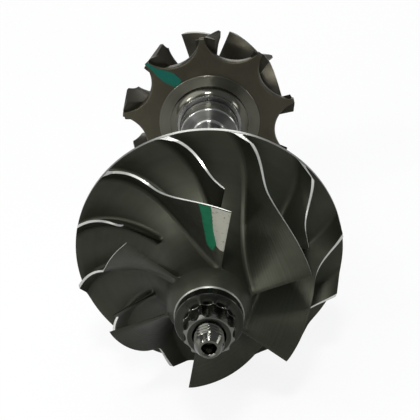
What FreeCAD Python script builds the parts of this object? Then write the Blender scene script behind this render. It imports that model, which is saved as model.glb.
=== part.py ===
"""Turbocharger rotor: turbine wheel and shaft, thrust parts, compressor wheel and nut.

Everything is in millimetres. The rotor's axis is Y, the compressor's nose points to -Y and the
turbine to +Y, with Z up. The origin is the middle of the turbine-side journal. Angles are counted
from +X towards +Z, which is counter-clockwise for someone who looks at the nose.
"""
import FreeCAD, Part
import Sketcher
import math
import os

Vector = FreeCAD.Vector

# name, value: every size that can be set by itself
SIZES = [
    # shaft
    ("journal_radius", 4.0),
    ("journal_length", 8.5),
    ("journal_spacing", 20.0),
    ("waist_radius", 3.6),
    ("waist_corner", 0.3),
    ("boss_gap", 1.85),
    ("boss_radius", 6.85),
    ("boss_edge", 0.6),
    ("root_fillet", 0.9),
    ("boss_front_land", 4.8),
    ("boss_rear_land", 0.7),
    ("groove_width", 1.2),
    ("groove_depth", 1.2),
    ("weld_radius", 7.6),
    ("shoulder_gap", 1.25),
    ("stub_radius", 2.6),
    ("thread_radius", 2.5),
    ("thread_runout", 2.4),
    ("end_stand", 3.6),
    ("end_taper", 1.2),
    ("end_radius", 1.75),
    ("centre_radius", 1.15),
    ("centre_depth", 3.0),
    # stack on the stub
    ("bore_clearance", 0.012),
    ("collar_length", 5.0),
    ("collar_radius", 7.2),
    ("collar_groove_width", 2.4),
    ("collar_groove_radius", 4.7),
    ("collar_chamfer", 0.35),
    ("sleeve_length", 10.7),
    ("sleeve_foot_radius", 5.0),
    ("flinger_radius", 7.6),
    ("flinger_start", 2.2),
    ("flinger_thickness", 1.5),
    ("sleeve_neck_radius", 4.7),
    ("sleeve_land_radius", 5.9),
    ("sleeve_land_start", 5.2),
    ("sleeve_ring_start", 7.4),
    ("sleeve_groove_width", 1.4),
    ("sleeve_groove_depth", 1.1),
    # seal rings
    ("ring_side_clearance", 0.03),
    ("ring_back_clearance", 0.35),
    ("ring_stand", 0.12),
    ("ring_gap_angle", 3.0),
    # compressor wheel
    ("wheel_radius", 25.0),
    ("rim_thickness", 1.0),
    ("back_hub_depth", 5.0),
    ("back_hub_radius", 7.5),
    ("back_cone_radius", 17.5),
    ("wheel_height", 18.6),
    ("hub_inlet_radius", 7.4),
    ("nose_length", 3.7),
    ("nose_radius", 6.0),
    ("nose_edge", 0.25),
    ("inlet_radius", 18.4),
    ("inlet_drop", 0.2),
    ("exit_width", 3.2),
    ("exit_roundness", 0.89),
    ("blade_count", 6),
    ("blade_root", 1.0),
    ("blade_tip", 0.5),
    ("blade_flare", 0.7),
    ("blade_le_angle", 74.5),
    ("blade_wrap_early", 0.81),
    ("blade_wrap_late", 0.7),
    ("blade_wrap", 54.3),
    ("blade_le_lean", -3.2),
    ("blade_te_lean", 6.2),
    ("splitter_start", 0.4),
    # nut
    ("nut_flange_radius", 5.85),
    ("nut_flange_height", 1.8),
    ("nut_cone_height", 0.65),
    ("nut_point_radius", 4.35),
    ("nut_height", 5.8),
    ("nut_top_chamfer", 0.65),
    ("nut_top_drop", 0.4),
    ("nut_notch_radius", 1.25),
    ("nut_notch_depth", 0.5),
    ("nut_recess_radius", 2.8),
    ("nut_recess_depth", 0.9),
    # turbine wheel
    ("turbine_radius", 20.85),
    ("weld_flare", 1.8),
    ("land_setback", 0.9),
    ("land_radius", 12.0),
    ("land_step", 0.35),
    ("disc_dish", 0.45),
    ("disc_tip_thickness", 1.1),
    ("turbine_depth", 17.3),
    ("turbine_hub_radius", 5.6),
    ("turbine_outlet_radius", 17.5),
    ("inlet_height", 6.25),
    ("outlet_roundness", 0.73),
    ("turbine_blade_count", 9),
    ("turbine_blade_root", 2.0),
    ("turbine_blade_tip", 0.95),
    ("turbine_blade_flare", 0.9),
    ("turbine_angle", 171.0),
    ("turbine_rake", 11.5),
    ("turbine_rake_depth", 7.8),
    ("turbine_outlet_sweep", 16.4),
    ("turbine_outlet_lean", 5.0),
    ("scallop_valley", 15.9),
    ("scallop_radius", 7.6),
    ("turbine_nose_length", 4.6),
    ("turbine_nose_taper", 0.5),
    ("turbine_hex_length", 3.0),
    ("turbine_hex_flats", 8.0),
    ("turbine_centre_radius", 1.6),
    ("turbine_centre_depth", 3.0),
]


class Size:
    """A length or angle that carries its number and the formula that makes it."""

    def __init__(self, value, text):
        self.value = float(value)
        self.text = text

    @staticmethod
    def of(other):
        if isinstance(other, Size):
            return other
        return Size(other, repr(float(other)))

    def __add__(self, other):
        o = Size.of(other)
        return Size(self.value + o.value, "(%s + %s)" % (self.text, o.text))

    def __sub__(self, other):
        o = Size.of(other)
        return Size(self.value - o.value, "(%s - %s)" % (self.text, o.text))

    def __mul__(self, other):
        o = Size.of(other)
        return Size(self.value * o.value, "(%s * %s)" % (self.text, o.text))

    def __truediv__(self, other):
        o = Size.of(other)
        return Size(self.value / o.value, "(%s / %s)" % (self.text, o.text))

    def __neg__(self):
        return Size(-self.value, "(0 - %s)" % self.text)


class Sizes:
    """The named sizes, each one a cell of the spreadsheet with an alias."""

    def __init__(self, doc):
        self.sheet = doc.addObject("Spreadsheet::Sheet", "Sizes")
        for row, (name, value) in enumerate(SIZES, start=1):
            self.sheet.set("A%d" % row, name)
            self.sheet.set("B%d" % row, str(value))
            self.sheet.setAlias("B%d" % row, name)
        doc.recompute()

    def __getattr__(self, name):
        return Size(float(self.sheet.get(name)), "Sizes.%s" % name)


def plane(body, role):
    """The body's own origin plane or axis with this role."""
    for feature in body.Origin.OriginFeatures:
        if feature.Role == role:
            return feature
    raise ValueError("no origin feature with the role " + role)


def arc_centre(start, end, radius, side):
    """Centre of the shorter arc of this radius from start to end; side +1 lies to its left."""
    mid = (start + end) / 2
    chord = end - start
    reach = math.sqrt(max(radius * radius - chord.Length ** 2 / 4, 0.0))
    left = Vector(-chord.y, chord.x, 0).normalize()
    return mid + left * reach * side


def add_profile(body, name, corners, role="XY_Plane", lift=0.0):
    """A closed sketch through corners (x, y), each with an optional (radius, side) for an arc.

    The arc belongs to the edge that leaves its corner. Every corner's place and every arc's radius
    is bound to its formula.
    """
    sketch = body.newObject("Sketcher::SketchObject", name)
    sketch.AttachmentSupport = [(plane(body, role), "")]
    sketch.MapMode = "FlatFace"
    if lift:
        sketch.AttachmentOffset = FreeCAD.Placement(Vector(0, 0, lift), FreeCAD.Rotation())
    points = [Vector(Size.of(c[0]).value, Size.of(c[1]).value, 0) for c in corners]
    count = len(points)
    for i, corner in enumerate(corners):
        start, end = points[i], points[(i + 1) % count]
        if len(corner) > 2:
            radius, side = Size.of(corner[2]), corner[3]
            centre = arc_centre(start, end, radius.value, side)
            circle = Part.Circle(centre, Vector(0, 0, 1), radius.value)
            first, last = (start, end) if side > 0 else (end, start)
            begin = math.atan2(first.y - centre.y, first.x - centre.x)
            finish = math.atan2(last.y - centre.y, last.x - centre.x)
            sketch.addGeometry(Part.ArcOfCircle(circle, begin, finish), False)
        else:
            sketch.addGeometry(Part.LineSegment(start, end), False)
    ends = [(1, 2) if len(c) < 4 or c[3] > 0 else (2, 1) for c in corners]
    for i in range(count):
        after = (i + 1) % count
        sketch.addConstraint(Sketcher.Constraint("Coincident", i, ends[i][1], after, ends[after][0]))
    for i, corner in enumerate(corners):
        for kind, axis, size in (("DistanceX", -2, corner[0]), ("DistanceY", -1, corner[1])):
            size = Size.of(size)
            if abs(size.value) < 1e-9:
                sketch.addConstraint(Sketcher.Constraint("PointOnObject", i, ends[i][0], axis))
                continue
            row = sketch.addConstraint(
                Sketcher.Constraint(kind, -1, 1, i, ends[i][0], size.value))
            if "Sizes." in size.text:
                sketch.setExpression("Constraints[%d]" % row, size.text)
        if len(corner) > 2:
            radius = Size.of(corner[2])
            row = sketch.addConstraint(Sketcher.Constraint("Radius", i, radius.value))
            sketch.setExpression("Constraints[%d]" % row, radius.text)
    return sketch


def new_body(doc, label, y=None):
    """A body that will be one sub-part, placed at its formula along the rotor's axis."""
    body = doc.addObject("PartDesign::Body", label)
    body.Label = label
    if y is not None:
        body.Placement = FreeCAD.Placement(Vector(0, y.value, 0), FreeCAD.Rotation())
        body.setExpression("Placement.Base.y", y.text)
    return body


def revolve(body, sketch, name, kind="PartDesign::Revolution"):
    """Turns a profile fully around the rotor's axis, or cuts it away when kind is a groove."""
    feature = body.newObject(kind, name)
    feature.Profile = sketch
    feature.ReferenceAxis = (plane(body, "Y_Axis"), [""])
    feature.Angle = 360
    return feature


def around(body, name, features, count):
    """Repeats features evenly around the rotor's axis."""
    pattern = body.newObject("PartDesign::PolarPattern", name)
    pattern.Originals = features
    pattern.Axis = (plane(body, "Y_Axis"), [""])
    pattern.Angle = 360
    pattern.Occurrences = int(count.value)
    pattern.setExpression("Occurrences", count.text)
    body.Tip = pattern
    return pattern


class Layout:
    """Places along the axis that several pieces share."""

    def __init__(self, z):
        half = z.journal_length / 2
        self.boss_face = half + z.boss_gap
        self.weld = self.boss_face + z.boss_front_land + z.groove_width + z.boss_rear_land
        self.shoulder = -(z.journal_spacing + half + z.shoulder_gap)
        self.collar_end = self.shoulder - z.collar_length
        self.wheel_back = self.collar_end - z.sleeve_length
        self.nose = self.wheel_back - z.back_hub_depth - z.wheel_height - z.nose_length
        self.nut_top = self.nose - z.nut_height
        self.shaft_end = self.nut_top - z.end_stand


def make_shaft(doc, z, at):
    """Steel shaft: seal boss, two journals with a relieved waist, stub, thread and centre hole."""
    body = new_body(doc, "rotor_shaft")
    half = z.journal_length / 2
    groove_start = at.boss_face + z.boss_front_land
    groove_end = groove_start + z.groove_width
    groove_floor = z.boss_radius - z.groove_depth
    second = -z.journal_spacing
    corner = z.waist_corner
    thread_start = at.nose + z.thread_runout
    profile = [
        (0, at.shaft_end),
        (z.end_radius, at.shaft_end),
        (z.thread_radius, at.shaft_end + z.end_taper),
        (z.thread_radius, thread_start),
        (z.stub_radius, thread_start),
        (z.stub_radius, at.shoulder),
        (z.journal_radius - corner, at.shoulder),
        (z.journal_radius, at.shoulder + corner),
        (z.journal_radius, second + half),
        (z.waist_radius, second + half + corner),
        (z.waist_radius, -half - corner),
        (z.journal_radius, -half),
        (z.journal_radius, half),
        (z.waist_radius, half + corner),
        (z.waist_radius, at.boss_face - z.root_fillet, z.root_fillet, -1),
        (z.waist_radius + z.root_fillet, at.boss_face),
        (z.boss_radius - z.boss_edge, at.boss_face, z.boss_edge, 1),
        (z.boss_radius, at.boss_face + z.boss_edge),
        (z.boss_radius, groove_start),
        (groove_floor, groove_start),
        (groove_floor, groove_end),
        (z.weld_radius, groove_end),
        (z.weld_radius, at.weld),
        (0, at.weld),
    ]
    revolve(body, add_profile(body, "shaft_profile", profile), "shaft_turned")
    cone = z.centre_radius * 0.8
    hole = [
        (0, at.shaft_end),
        (z.centre_radius, at.shaft_end),
        (z.centre_radius, at.shaft_end + z.centre_depth),
        (0, at.shaft_end + z.centre_depth + cone),
    ]
    revolve(body, add_profile(body, "centre_profile", hole), "centre_hole", "PartDesign::Groove")
    return body


def make_collar(doc, z, at):
    """Thrust collar: two hard flanges with the thrust bearing's groove between them."""
    body = new_body(doc, "thrust_collar", at.shoulder)
    bore = z.stub_radius + z.bore_clearance
    flange = (z.collar_length - z.collar_groove_width) / 2
    c = z.collar_chamfer
    profile = [
        (bore, 0),
        (z.collar_radius - c, 0),
        (z.collar_radius, -c),
        (z.collar_radius, -flange),
        (z.collar_groove_radius, -flange),
        (z.collar_groove_radius, -flange - z.collar_groove_width),
        (z.collar_radius, -flange - z.collar_groove_width),
        (z.collar_radius, c - z.collar_length),
        (z.collar_radius - c, -z.collar_length),
        (bore, -z.collar_length),
    ]
    revolve(body, add_profile(body, "collar_profile", profile), "collar_turned")
    return body


def make_sleeve(doc, z, at):
    """Spacer sleeve: foot on the collar, oil flinger rim, neck, seal land and its ring groove."""
    body = new_body(doc, "oil_flinger_sleeve", at.collar_end)
    bore = z.stub_radius + z.bore_clearance
    rim_end = z.flinger_start + z.flinger_thickness
    floor = z.sleeve_land_radius - z.sleeve_groove_depth
    ring_end = z.sleeve_ring_start + z.sleeve_groove_width
    slope = (z.flinger_radius - z.sleeve_foot_radius) * 0.25
    profile = [
        (bore, 0),
        (z.sleeve_foot_radius, 0),
        (z.sleeve_foot_radius, slope - z.flinger_start),
        (z.flinger_radius, -z.flinger_start),
        (z.flinger_radius, -rim_end),
        (z.sleeve_neck_radius, -rim_end),
        (z.sleeve_neck_radius, -z.sleeve_land_start),
        (z.sleeve_land_radius, -z.sleeve_land_start),
        (z.sleeve_land_radius, -z.sleeve_ring_start),
        (floor, -z.sleeve_ring_start),
        (floor, -ring_end),
        (z.sleeve_land_radius, -ring_end),
        (z.sleeve_land_radius, -z.sleeve_length),
        (bore, -z.sleeve_length),
    ]
    revolve(body, add_profile(body, "sleeve_profile", profile), "sleeve_turned")
    return body


def make_ring(doc, z, label, groove_y, land_radius, groove_width, groove_depth):
    """Split piston ring that turns freely in its groove, with its gap uppermost."""
    body = new_body(doc, label, groove_y)
    width = groove_width - z.ring_side_clearance * 2
    inner = land_radius - groove_depth + z.ring_back_clearance
    outer = land_radius + z.ring_stand
    profile = [
        (inner, z.ring_side_clearance),
        (outer, z.ring_side_clearance),
        (outer, z.ring_side_clearance + width),
        (inner, z.ring_side_clearance + width),
    ]
    ring = revolve(body, add_profile(body, label + "_profile", profile), label + "_turned")
    ring.Midplane = True
    ring.setExpression("Angle", "360 - Sizes.ring_gap_angle")
    body.Placement = FreeCAD.Placement(body.Placement.Base,
                                       FreeCAD.Rotation(Vector(0, 1, 0), 90))
    return body


def turned_corner(radial, axial, tight):
    """Radius of the wide arc that meets a tight arc smoothly across a radial and an axial run."""
    top = radial * radial + axial * axial - axial * tight * 2
    return top / ((radial - tight) * 2)


class Meridian:
    """One wheel seen in half section: hub and shroud curves as (radius, height) at a station.

    The hub is a quarter circle-like curve and the shroud two tangent arcs. A station runs from 0 at
    the wheel's small end to 1 at its large one.
    """

    def __init__(self, big, hub_big, shroud_big, hub_small, shroud_small, tight):
        self.big = big
        self.hub_big = hub_big
        self.shroud_big = shroud_big
        self.hub_small = hub_small
        self.shroud_small = shroud_small
        self.tight = tight
        radial = big - shroud_small[0]
        axial = shroud_small[1] - shroud_big
        self.wide = (radial ** 2 + axial ** 2 - 2 * axial * tight) / (2 * (radial - tight))

    def hub(self, station):
        """Point on the hub, an ellipse tangent to the axis at the small end."""
        turn = math.radians(90 * station)
        radial = self.big - self.hub_small[0]
        axial = self.hub_small[1] - self.hub_big
        return (self.big - radial * math.cos(turn), self.hub_small[1] - axial * math.sin(turn))

    def shroud(self, station):
        """Point on the shroud, at an equal share of the two arcs' length."""
        wide_centre = (self.shroud_small[0] + self.wide, self.shroud_small[1])
        tight_centre = (self.big, self.shroud_big + self.tight)
        rise = wide_centre[1] - tight_centre[1]
        run = wide_centre[0] - tight_centre[0]
        split = math.atan2(rise, run)
        wide_length = self.wide * split
        tight_length = self.tight * (math.pi / 2 - split)
        way = station * (wide_length + tight_length)
        if way <= wide_length:
            turn = way / self.wide
            return (wide_centre[0] - self.wide * math.cos(turn),
                    wide_centre[1] - self.wide * math.sin(turn))
        turn = split + (way - wide_length) / self.tight
        return (tight_centre[0] - self.tight * math.cos(turn),
                tight_centre[1] - self.tight * math.sin(turn))


def polar(radius, angle, height, up):
    """A point on the wheel; up is the sign of y for a growing height."""
    turn = math.radians(angle)
    return Vector(radius * math.cos(turn), up * height, radius * math.sin(turn))


def blade_section(body, name, foot, tip, foot_angle, tip_angle, up, slope, shape):
    """One cross-section of a blade, from under the hub's surface to above the shroud line.

    foot and tip are (radius, height); slope is the blade's angle to the axial plane, which widens
    the section; shape is (root, tip, flare, sink, over) as sizes.
    """
    low = polar(foot[0], foot_angle, foot[1], up)
    high = polar(tip[0], tip_angle, tip[1], up)
    span = high - low
    middle = math.radians((foot_angle + tip_angle) / 2)
    side = Vector(-math.sin(middle), 0, math.cos(middle))
    along = Vector(span).normalize()
    normal = along.cross(side).normalize()
    side = normal.cross(along)
    root, top, flare, sink, over = shape
    widen = 1 / math.cos(math.radians(slope))
    reach = span.Length
    sketch = add_profile(body, name, [
        (-sink, (root / 2 + flare) * -widen),
        (0, (root / 2 + flare) * -widen),
        (flare, (root / 2) * -widen),
        (over + reach, (top / 2) * -widen),
        (over + reach, (top / 2) * widen),
        (flare, (root / 2) * widen),
        (0, (root / 2 + flare) * widen),
        (-sink, (root / 2 + flare) * widen),
    ])
    sketch.MapMode = "Deactivated"
    sketch.Placement = FreeCAD.Placement(low, FreeCAD.Rotation(along, side, normal, "XYZ"))
    return sketch


def loft(body, name, sketches):
    """A solid blade through its cross-sections."""
    feature = body.newObject("PartDesign::AdditiveLoft", name)
    feature.Profile = sketches[0]
    feature.Sections = sketches[1:]
    feature.Ruled = False
    return feature


def ease(share, start, end):
    """Bezier share of the wrap: start and end say how early it happens."""
    rest = 1 - share
    return 3 * rest * rest * share * start + 3 * rest * share * share * end + share ** 3


def make_compressor_wheel(doc, z, at):
    """Compressor wheel: hub, full blades and splitters through sections, then the turned shroud."""
    body = new_body(doc, "compressor_wheel", at.wheel_back)
    rim_back = z.back_hub_depth
    rim_front = rim_back + z.rim_thickness
    inlet = rim_back + z.wheel_height
    nose = inlet + z.nose_length
    stock = z.wheel_radius + 0.4
    bore = z.stub_radius + z.bore_clearance
    hub_curve = z.wheel_height - z.rim_thickness
    exit_corner = (z.wheel_radius - z.inlet_radius) * z.exit_roundness
    edge = z.nose_edge
    profile = [
        (bore, 0),
        (z.back_hub_radius, 0),
        (z.back_hub_radius + z.back_hub_depth * 0.2, -z.back_hub_depth * 0.4,
         (z.back_cone_radius - z.back_hub_radius) * 1.5, 1),
        (z.back_cone_radius, -rim_back),
        (stock, -rim_back),
        (stock, -rim_front),
        (z.wheel_radius, -rim_front, hub_curve, 1),
        (z.hub_inlet_radius, -inlet),
        (z.nose_radius, edge - nose),
        (z.nose_radius - edge, -nose),
        (bore, -nose),
    ]
    hub = revolve(body, add_profile(body, "hub_profile", profile), "hub_turned")
    shape = (z.blade_root, z.blade_tip, z.blade_flare * 0.6, z.rim_thickness * 0.6,
             z.blade_tip * 1.5)
    curve = Meridian(z.wheel_radius.value, rim_front.value,
                     (rim_front + z.exit_width).value,
                     (z.hub_inlet_radius.value, inlet.value),
                     (z.inlet_radius.value, (inlet - z.inlet_drop).value),
                     exit_corner.value)
    slopes = {0.0: 58, 0.18: 52, 0.36: 42, 0.54: 30, 0.72: 20, 0.88: 14, 1.0: 12}

    def sections(prefix, stations, turn):
        sketches = []
        for station in stations:
            share = ease(station, z.blade_wrap_early.value, z.blade_wrap_late.value)
            tip_angle = z.blade_le_angle.value + z.blade_wrap.value * share + turn
            lean = z.blade_le_lean.value + station * (z.blade_te_lean - z.blade_le_lean).value
            foot, tip = curve.hub(station), curve.shroud(station)
            slope = slopes[min(slopes, key=lambda known: abs(known - station))]
            sketches.append(blade_section(
                body, "%s_%02d" % (prefix, round(station * 100)), foot, tip,
                tip_angle + lean, tip_angle, -1, slope, shape))
        last = 1.0 + 0.04
        grow = z.blade_wrap.value * 3 * (1 - z.blade_wrap_late.value) * (last - 1) + turn
        tip_angle = z.blade_le_angle.value + z.blade_wrap.value + grow
        foot = (curve.big + 0.8, curve.hub_big)
        tip = (curve.big + 0.8, curve.shroud_big)
        sketches.append(blade_section(body, prefix + "_end", foot, tip,
                                      tip_angle + z.blade_te_lean.value, tip_angle, -1,
                                      slopes[1.0], shape))
        return sketches

    pitch = 360 / z.blade_count.value
    full = loft(body, "full_blade",
                sections("full", [0.0, 0.18, 0.36, 0.54, 0.72, 0.88, 1.0], 0.0))
    start = z.splitter_start.value
    steps = [start + (1 - start) * k / 4 for k in range(5)]
    splitter = loft(body, "splitter_blade", sections("splitter", steps, -pitch / 2))
    around(body, "blades", [full, splitter], z.blade_count)
    inlet_edge = inlet - z.inlet_drop
    exit_edge = rim_front + z.exit_width
    wide = turned_corner(z.wheel_radius - z.inlet_radius, inlet_edge - exit_edge, exit_corner)
    split = math.atan2((inlet_edge - exit_edge - exit_corner).value,
                       (z.inlet_radius + wide - z.wheel_radius).value)
    meet_x = z.wheel_radius - exit_corner * math.cos(split)
    meet_y = exit_edge + exit_corner - exit_corner * math.sin(split)
    cut = [
        (z.wheel_radius, -rim_back + 1),
        (z.wheel_radius, -exit_edge, exit_corner, 1),
        (meet_x, -meet_y, wide, 1),
        (z.inlet_radius, -inlet_edge),
        (z.inlet_radius, -inlet - 2),
        (z.wheel_radius + 4, -inlet - 2),
        (z.wheel_radius + 4, -rim_back + 1),
    ]
    revolve(body, add_profile(body, "shroud_profile", cut), "shroud_turned", "PartDesign::Groove")
    return body


def make_nut(doc, z, at):
    """Flanged nut with twelve points, a coned flange and a recess in its top."""
    body = new_body(doc, "shaft_nut", at.nose)
    bore = z.thread_radius + z.bore_clearance
    cone = z.nut_flange_height + z.nut_cone_height
    chamfer = z.nut_top_chamfer
    profile = [
        (bore, 0),
        (z.nut_flange_radius, 0),
        (z.nut_flange_radius, -z.nut_flange_height),
        (z.nut_point_radius, -cone),
        (z.nut_point_radius, z.nut_top_drop - z.nut_height),
        (z.nut_point_radius - chamfer, -z.nut_height),
        (z.nut_recess_radius, -z.nut_height),
        (z.nut_recess_radius, z.nut_recess_depth - z.nut_height),
        (bore, z.nut_recess_depth - z.nut_height),
    ]
    revolve(body, add_profile(body, "nut_profile", profile), "nut_turned")
    sketch = body.newObject("Sketcher::SketchObject", "notch_profile")
    sketch.AttachmentSupport = [(plane(body, "XZ_Plane"), "")]
    sketch.MapMode = "FlatFace"
    place = z.nut_point_radius - z.nut_notch_depth + z.nut_notch_radius
    circle = Part.Circle(Vector(place.value, 0, 0), Vector(0, 0, 1), z.nut_notch_radius.value)
    sketch.addGeometry(circle, False)
    sketch.addConstraint(Sketcher.Constraint("PointOnObject", 0, 3, -1))
    row = sketch.addConstraint(Sketcher.Constraint("DistanceX", -1, 1, 0, 3, place.value))
    sketch.setExpression("Constraints[%d]" % row, place.text)
    row = sketch.addConstraint(Sketcher.Constraint("Radius", 0, z.nut_notch_radius.value))
    sketch.setExpression("Constraints[%d]" % row, z.nut_notch_radius.text)
    floor = cone - z.nut_cone_height * 0.3
    sketch.AttachmentOffset = FreeCAD.Placement(Vector(0, 0, floor.value), FreeCAD.Rotation())
    sketch.setExpression("AttachmentOffset.Base.z", floor.text)
    doc.recompute()
    notch = body.newObject("PartDesign::Pocket", "notch")
    notch.Profile = sketch
    notch.Length = (z.nut_height - floor + 1).value
    notch.setExpression("Length", (z.nut_height - floor + 1).text)
    notch.Reversed = True
    pattern = around(body, "notches", [notch], Size(12, "12"))
    return body


def make_turbine_wheel(doc, z, at):
    """Turbine wheel: scalloped disc and hub, blades through sections, turned outline, hex nose."""
    body = new_body(doc, "turbine_wheel", at.weld)
    land = z.land_setback
    disc = land + z.land_step
    tip_front = disc + z.disc_dish
    tip_back = tip_front + z.disc_tip_thickness
    outlet = tip_front + z.turbine_depth
    nose = outlet + z.turbine_nose_length
    collar = nose - z.turbine_hex_length
    stock = z.turbine_radius + 0.4
    flare = (z.weld_flare * z.weld_flare + land * land) / (land * 2)
    radial = z.turbine_radius - z.turbine_hub_radius
    axial = outlet - tip_back
    bend = (radial + axial) / 2
    profile = [
        (0, 0),
        (z.weld_radius, 0, flare, -1),
        (z.weld_radius + z.weld_flare, land),
        (z.land_radius, land),
        (z.land_radius, disc),
        (stock, tip_front),
        (stock, tip_back),
        (z.turbine_radius, tip_back, bend * 1.02, -1),
        (z.turbine_hub_radius, outlet),
        (z.turbine_hub_radius - z.turbine_nose_taper, collar),
        (0, collar),
    ]
    revolve(body, add_profile(body, "wheel_profile", profile), "wheel_turned")
    across = z.turbine_hex_flats / math.sqrt(3)
    hexagon = add_profile(body, "hex_profile", [
        (across * math.cos(math.radians(60 * k)), across * math.sin(math.radians(60 * k)))
        for k in range(6)], "XZ_Plane")
    hexagon.AttachmentOffset = FreeCAD.Placement(Vector(0, 0, -collar.value), FreeCAD.Rotation())
    hexagon.setExpression("AttachmentOffset.Base.z", (-collar).text)
    pad = body.newObject("PartDesign::Pad", "hex_nose")
    pad.Profile = hexagon
    pad.Length = z.turbine_hex_length.value
    pad.setExpression("Length", z.turbine_hex_length.text)
    pad.Reversed = True
    deep = nose - z.turbine_centre_depth
    centre = [
        (0, nose),
        (0, deep - z.turbine_centre_radius * 0.6),
        (z.turbine_centre_radius, deep),
        (z.turbine_centre_radius, nose),
    ]
    revolve(body, add_profile(body, "nose_hole_profile", centre), "nose_hole",
            "PartDesign::Groove")
    count = z.turbine_blade_count
    pitch = 360 / count.value
    between = z.turbine_angle.value - pitch / 2
    scallop = body.newObject("Sketcher::SketchObject", "scallop_profile")
    scallop.AttachmentSupport = [(plane(body, "XZ_Plane"), "")]
    scallop.MapMode = "FlatFace"
    place = z.scallop_valley + z.scallop_radius
    turn = math.radians(between)
    centre = Vector(place.value * math.cos(turn), place.value * math.sin(turn), 0)
    scallop.addGeometry(Part.Circle(centre, Vector(0, 0, 1), z.scallop_radius.value), False)
    row = scallop.addConstraint(Sketcher.Constraint("Radius", 0, z.scallop_radius.value))
    scallop.setExpression("Constraints[%d]" % row, z.scallop_radius.text)
    for kind, share in (("DistanceX", math.cos(turn)), ("DistanceY", math.sin(turn))):
        row = scallop.addConstraint(
            Sketcher.Constraint(kind, -1, 1, 0, 3, place.value * share))
        scallop.setExpression("Constraints[%d]" % row, (place * share).text)
    doc.recompute()
    cut = body.newObject("PartDesign::Pocket", "scallop")
    cut.Profile = scallop
    cut.Length = (tip_back * 3).value
    cut.setExpression("Length", (tip_back * 3).text)
    scallops = around(body, "scallops", [cut], count)
    shape = (z.turbine_blade_root, z.turbine_blade_tip, z.turbine_blade_flare * 0.6,
             z.disc_tip_thickness * 0.7, z.turbine_blade_tip)
    inlet_edge = tip_front + z.inlet_height
    outlet_corner = (z.turbine_radius - z.turbine_outlet_radius) * z.outlet_roundness
    curve = Meridian(z.turbine_radius.value, tip_back.value, inlet_edge.value,
                     (z.turbine_hub_radius.value, outlet.value),
                     (z.turbine_outlet_radius.value, outlet.value),
                     outlet_corner.value)

    def swing(depth):
        """Share of the outlet sweep and of the rake that the blade has at this depth."""
        turn_depth = tip_front.value + z.turbine_rake_depth.value
        if depth < turn_depth:
            ratio = (depth - tip_front.value) / (turn_depth - tip_front.value)
            return 0.0, math.sin(math.radians(90 * max(ratio, 0.0)))
        ratio = (depth - turn_depth) / (outlet.value - turn_depth)
        late = ratio ** 1.8
        return late, 1 - late

    slopes = {0.0: 50, 0.2: 42, 0.4: 30, 0.6: 24, 0.8: 26, 1.0: 30}
    sketches = []
    for station in (0.0, 0.2, 0.4, 0.6, 0.8, 1.0, 1.05):
        inner, outer = curve.hub(min(station, 1.0)), curve.shroud(min(station, 1.0))
        angles = []
        for point, lean in ((inner, z.turbine_outlet_lean.value), (outer, 0.0)):
            late, rake = swing(point[1])
            angles.append(z.turbine_angle.value - z.turbine_rake.value * rake
                          + (z.turbine_outlet_sweep.value + lean) * late)
        beyond = 0.8 if station > 1 else 0.0
        sketches.append(blade_section(
            body, "turbine_%03d" % round(station * 100), (inner[0] + beyond, inner[1]),
            (outer[0] + beyond, outer[1]), angles[0], angles[1], 1,
            slopes[min(station, 1.0)], shape))
    blade = loft(body, "turbine_blade", sketches)
    around(body, "turbine_blades", [blade], count)
    wide = turned_corner(z.turbine_radius - z.turbine_outlet_radius, outlet - inlet_edge,
                         outlet_corner)
    split = math.atan2((outlet - inlet_edge - outlet_corner).value,
                       (z.turbine_outlet_radius + wide - z.turbine_radius).value)
    meet_x = z.turbine_radius - outlet_corner * math.cos(split)
    meet_y = inlet_edge + outlet_corner - outlet_corner * math.sin(split)
    shroud = [
        (z.turbine_radius, land - 1),
        (z.turbine_radius + 4, land - 1),
        (z.turbine_radius + 4, outlet + 2),
        (z.turbine_outlet_radius, outlet + 2),
        (z.turbine_outlet_radius, outlet, wide, 1),
        (meet_x, meet_y, outlet_corner, 1),
        (z.turbine_radius, inlet_edge),
    ]
    revolve(body, add_profile(body, "outline_profile", shroud), "outline_turned",
            "PartDesign::Groove")
    return body


def check(doc, bodies):
    """Stops when a feature failed or a sub-part isn't one valid closed solid."""
    for thing in doc.Objects:
        if "Invalid" in thing.State or "Error" in thing.State:
            raise ValueError("%s failed: %s" % (thing.Name, thing.State))
    for body in bodies:
        shape = body.Shape
        if shape.isNull() or not shape.isValid() or not shape.isClosed():
            raise ValueError(body.Label + " isn't a valid closed solid")
        print(body.Label, "solids", len(shape.Solids), "faces", len(shape.Faces),
              "volume", round(shape.Volume, 2))


def main():
    doc = FreeCAD.newDocument("turbo_rotor")
    z = Sizes(doc)
    at = Layout(z)
    bodies = [
        make_shaft(doc, z, at),
        make_collar(doc, z, at),
        make_sleeve(doc, z, at),
        make_ring(doc, z, "turbine_seal_ring", at.boss_face + z.boss_front_land,
                  z.boss_radius, z.groove_width, z.groove_depth),
        make_ring(doc, z, "compressor_seal_ring",
                  at.collar_end - z.sleeve_ring_start - z.sleeve_groove_width,
                  z.sleeve_land_radius, z.sleeve_groove_width, z.sleeve_groove_depth),
        make_compressor_wheel(doc, z, at),
        make_nut(doc, z, at),
        make_turbine_wheel(doc, z, at),
    ]
    doc.recompute()
    check(doc, bodies)
    os.makedirs("parts", exist_ok=True)
    for body in bodies:
        body.Shape.exportStep(os.path.join("parts", body.Label + ".step"))


main()
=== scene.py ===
"""Turbocharger rotor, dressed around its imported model.

Shapes are written in millimetres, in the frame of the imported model: the rotor's axis is Y, the
compressor's nose points to -Y, Z is up and the origin is the middle of the turbine-side journal.
Angles are degrees from +X towards +Z, or radians where a function says so. A mesh is turned into
metres when it is made.
"""
import logging
import math
from dataclasses import dataclass, fields
from enum import Enum
from functools import partial
from typing import Callable, Sequence

import bmesh
import bpy
import numpy as np
from mathutils import Matrix, Vector


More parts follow.
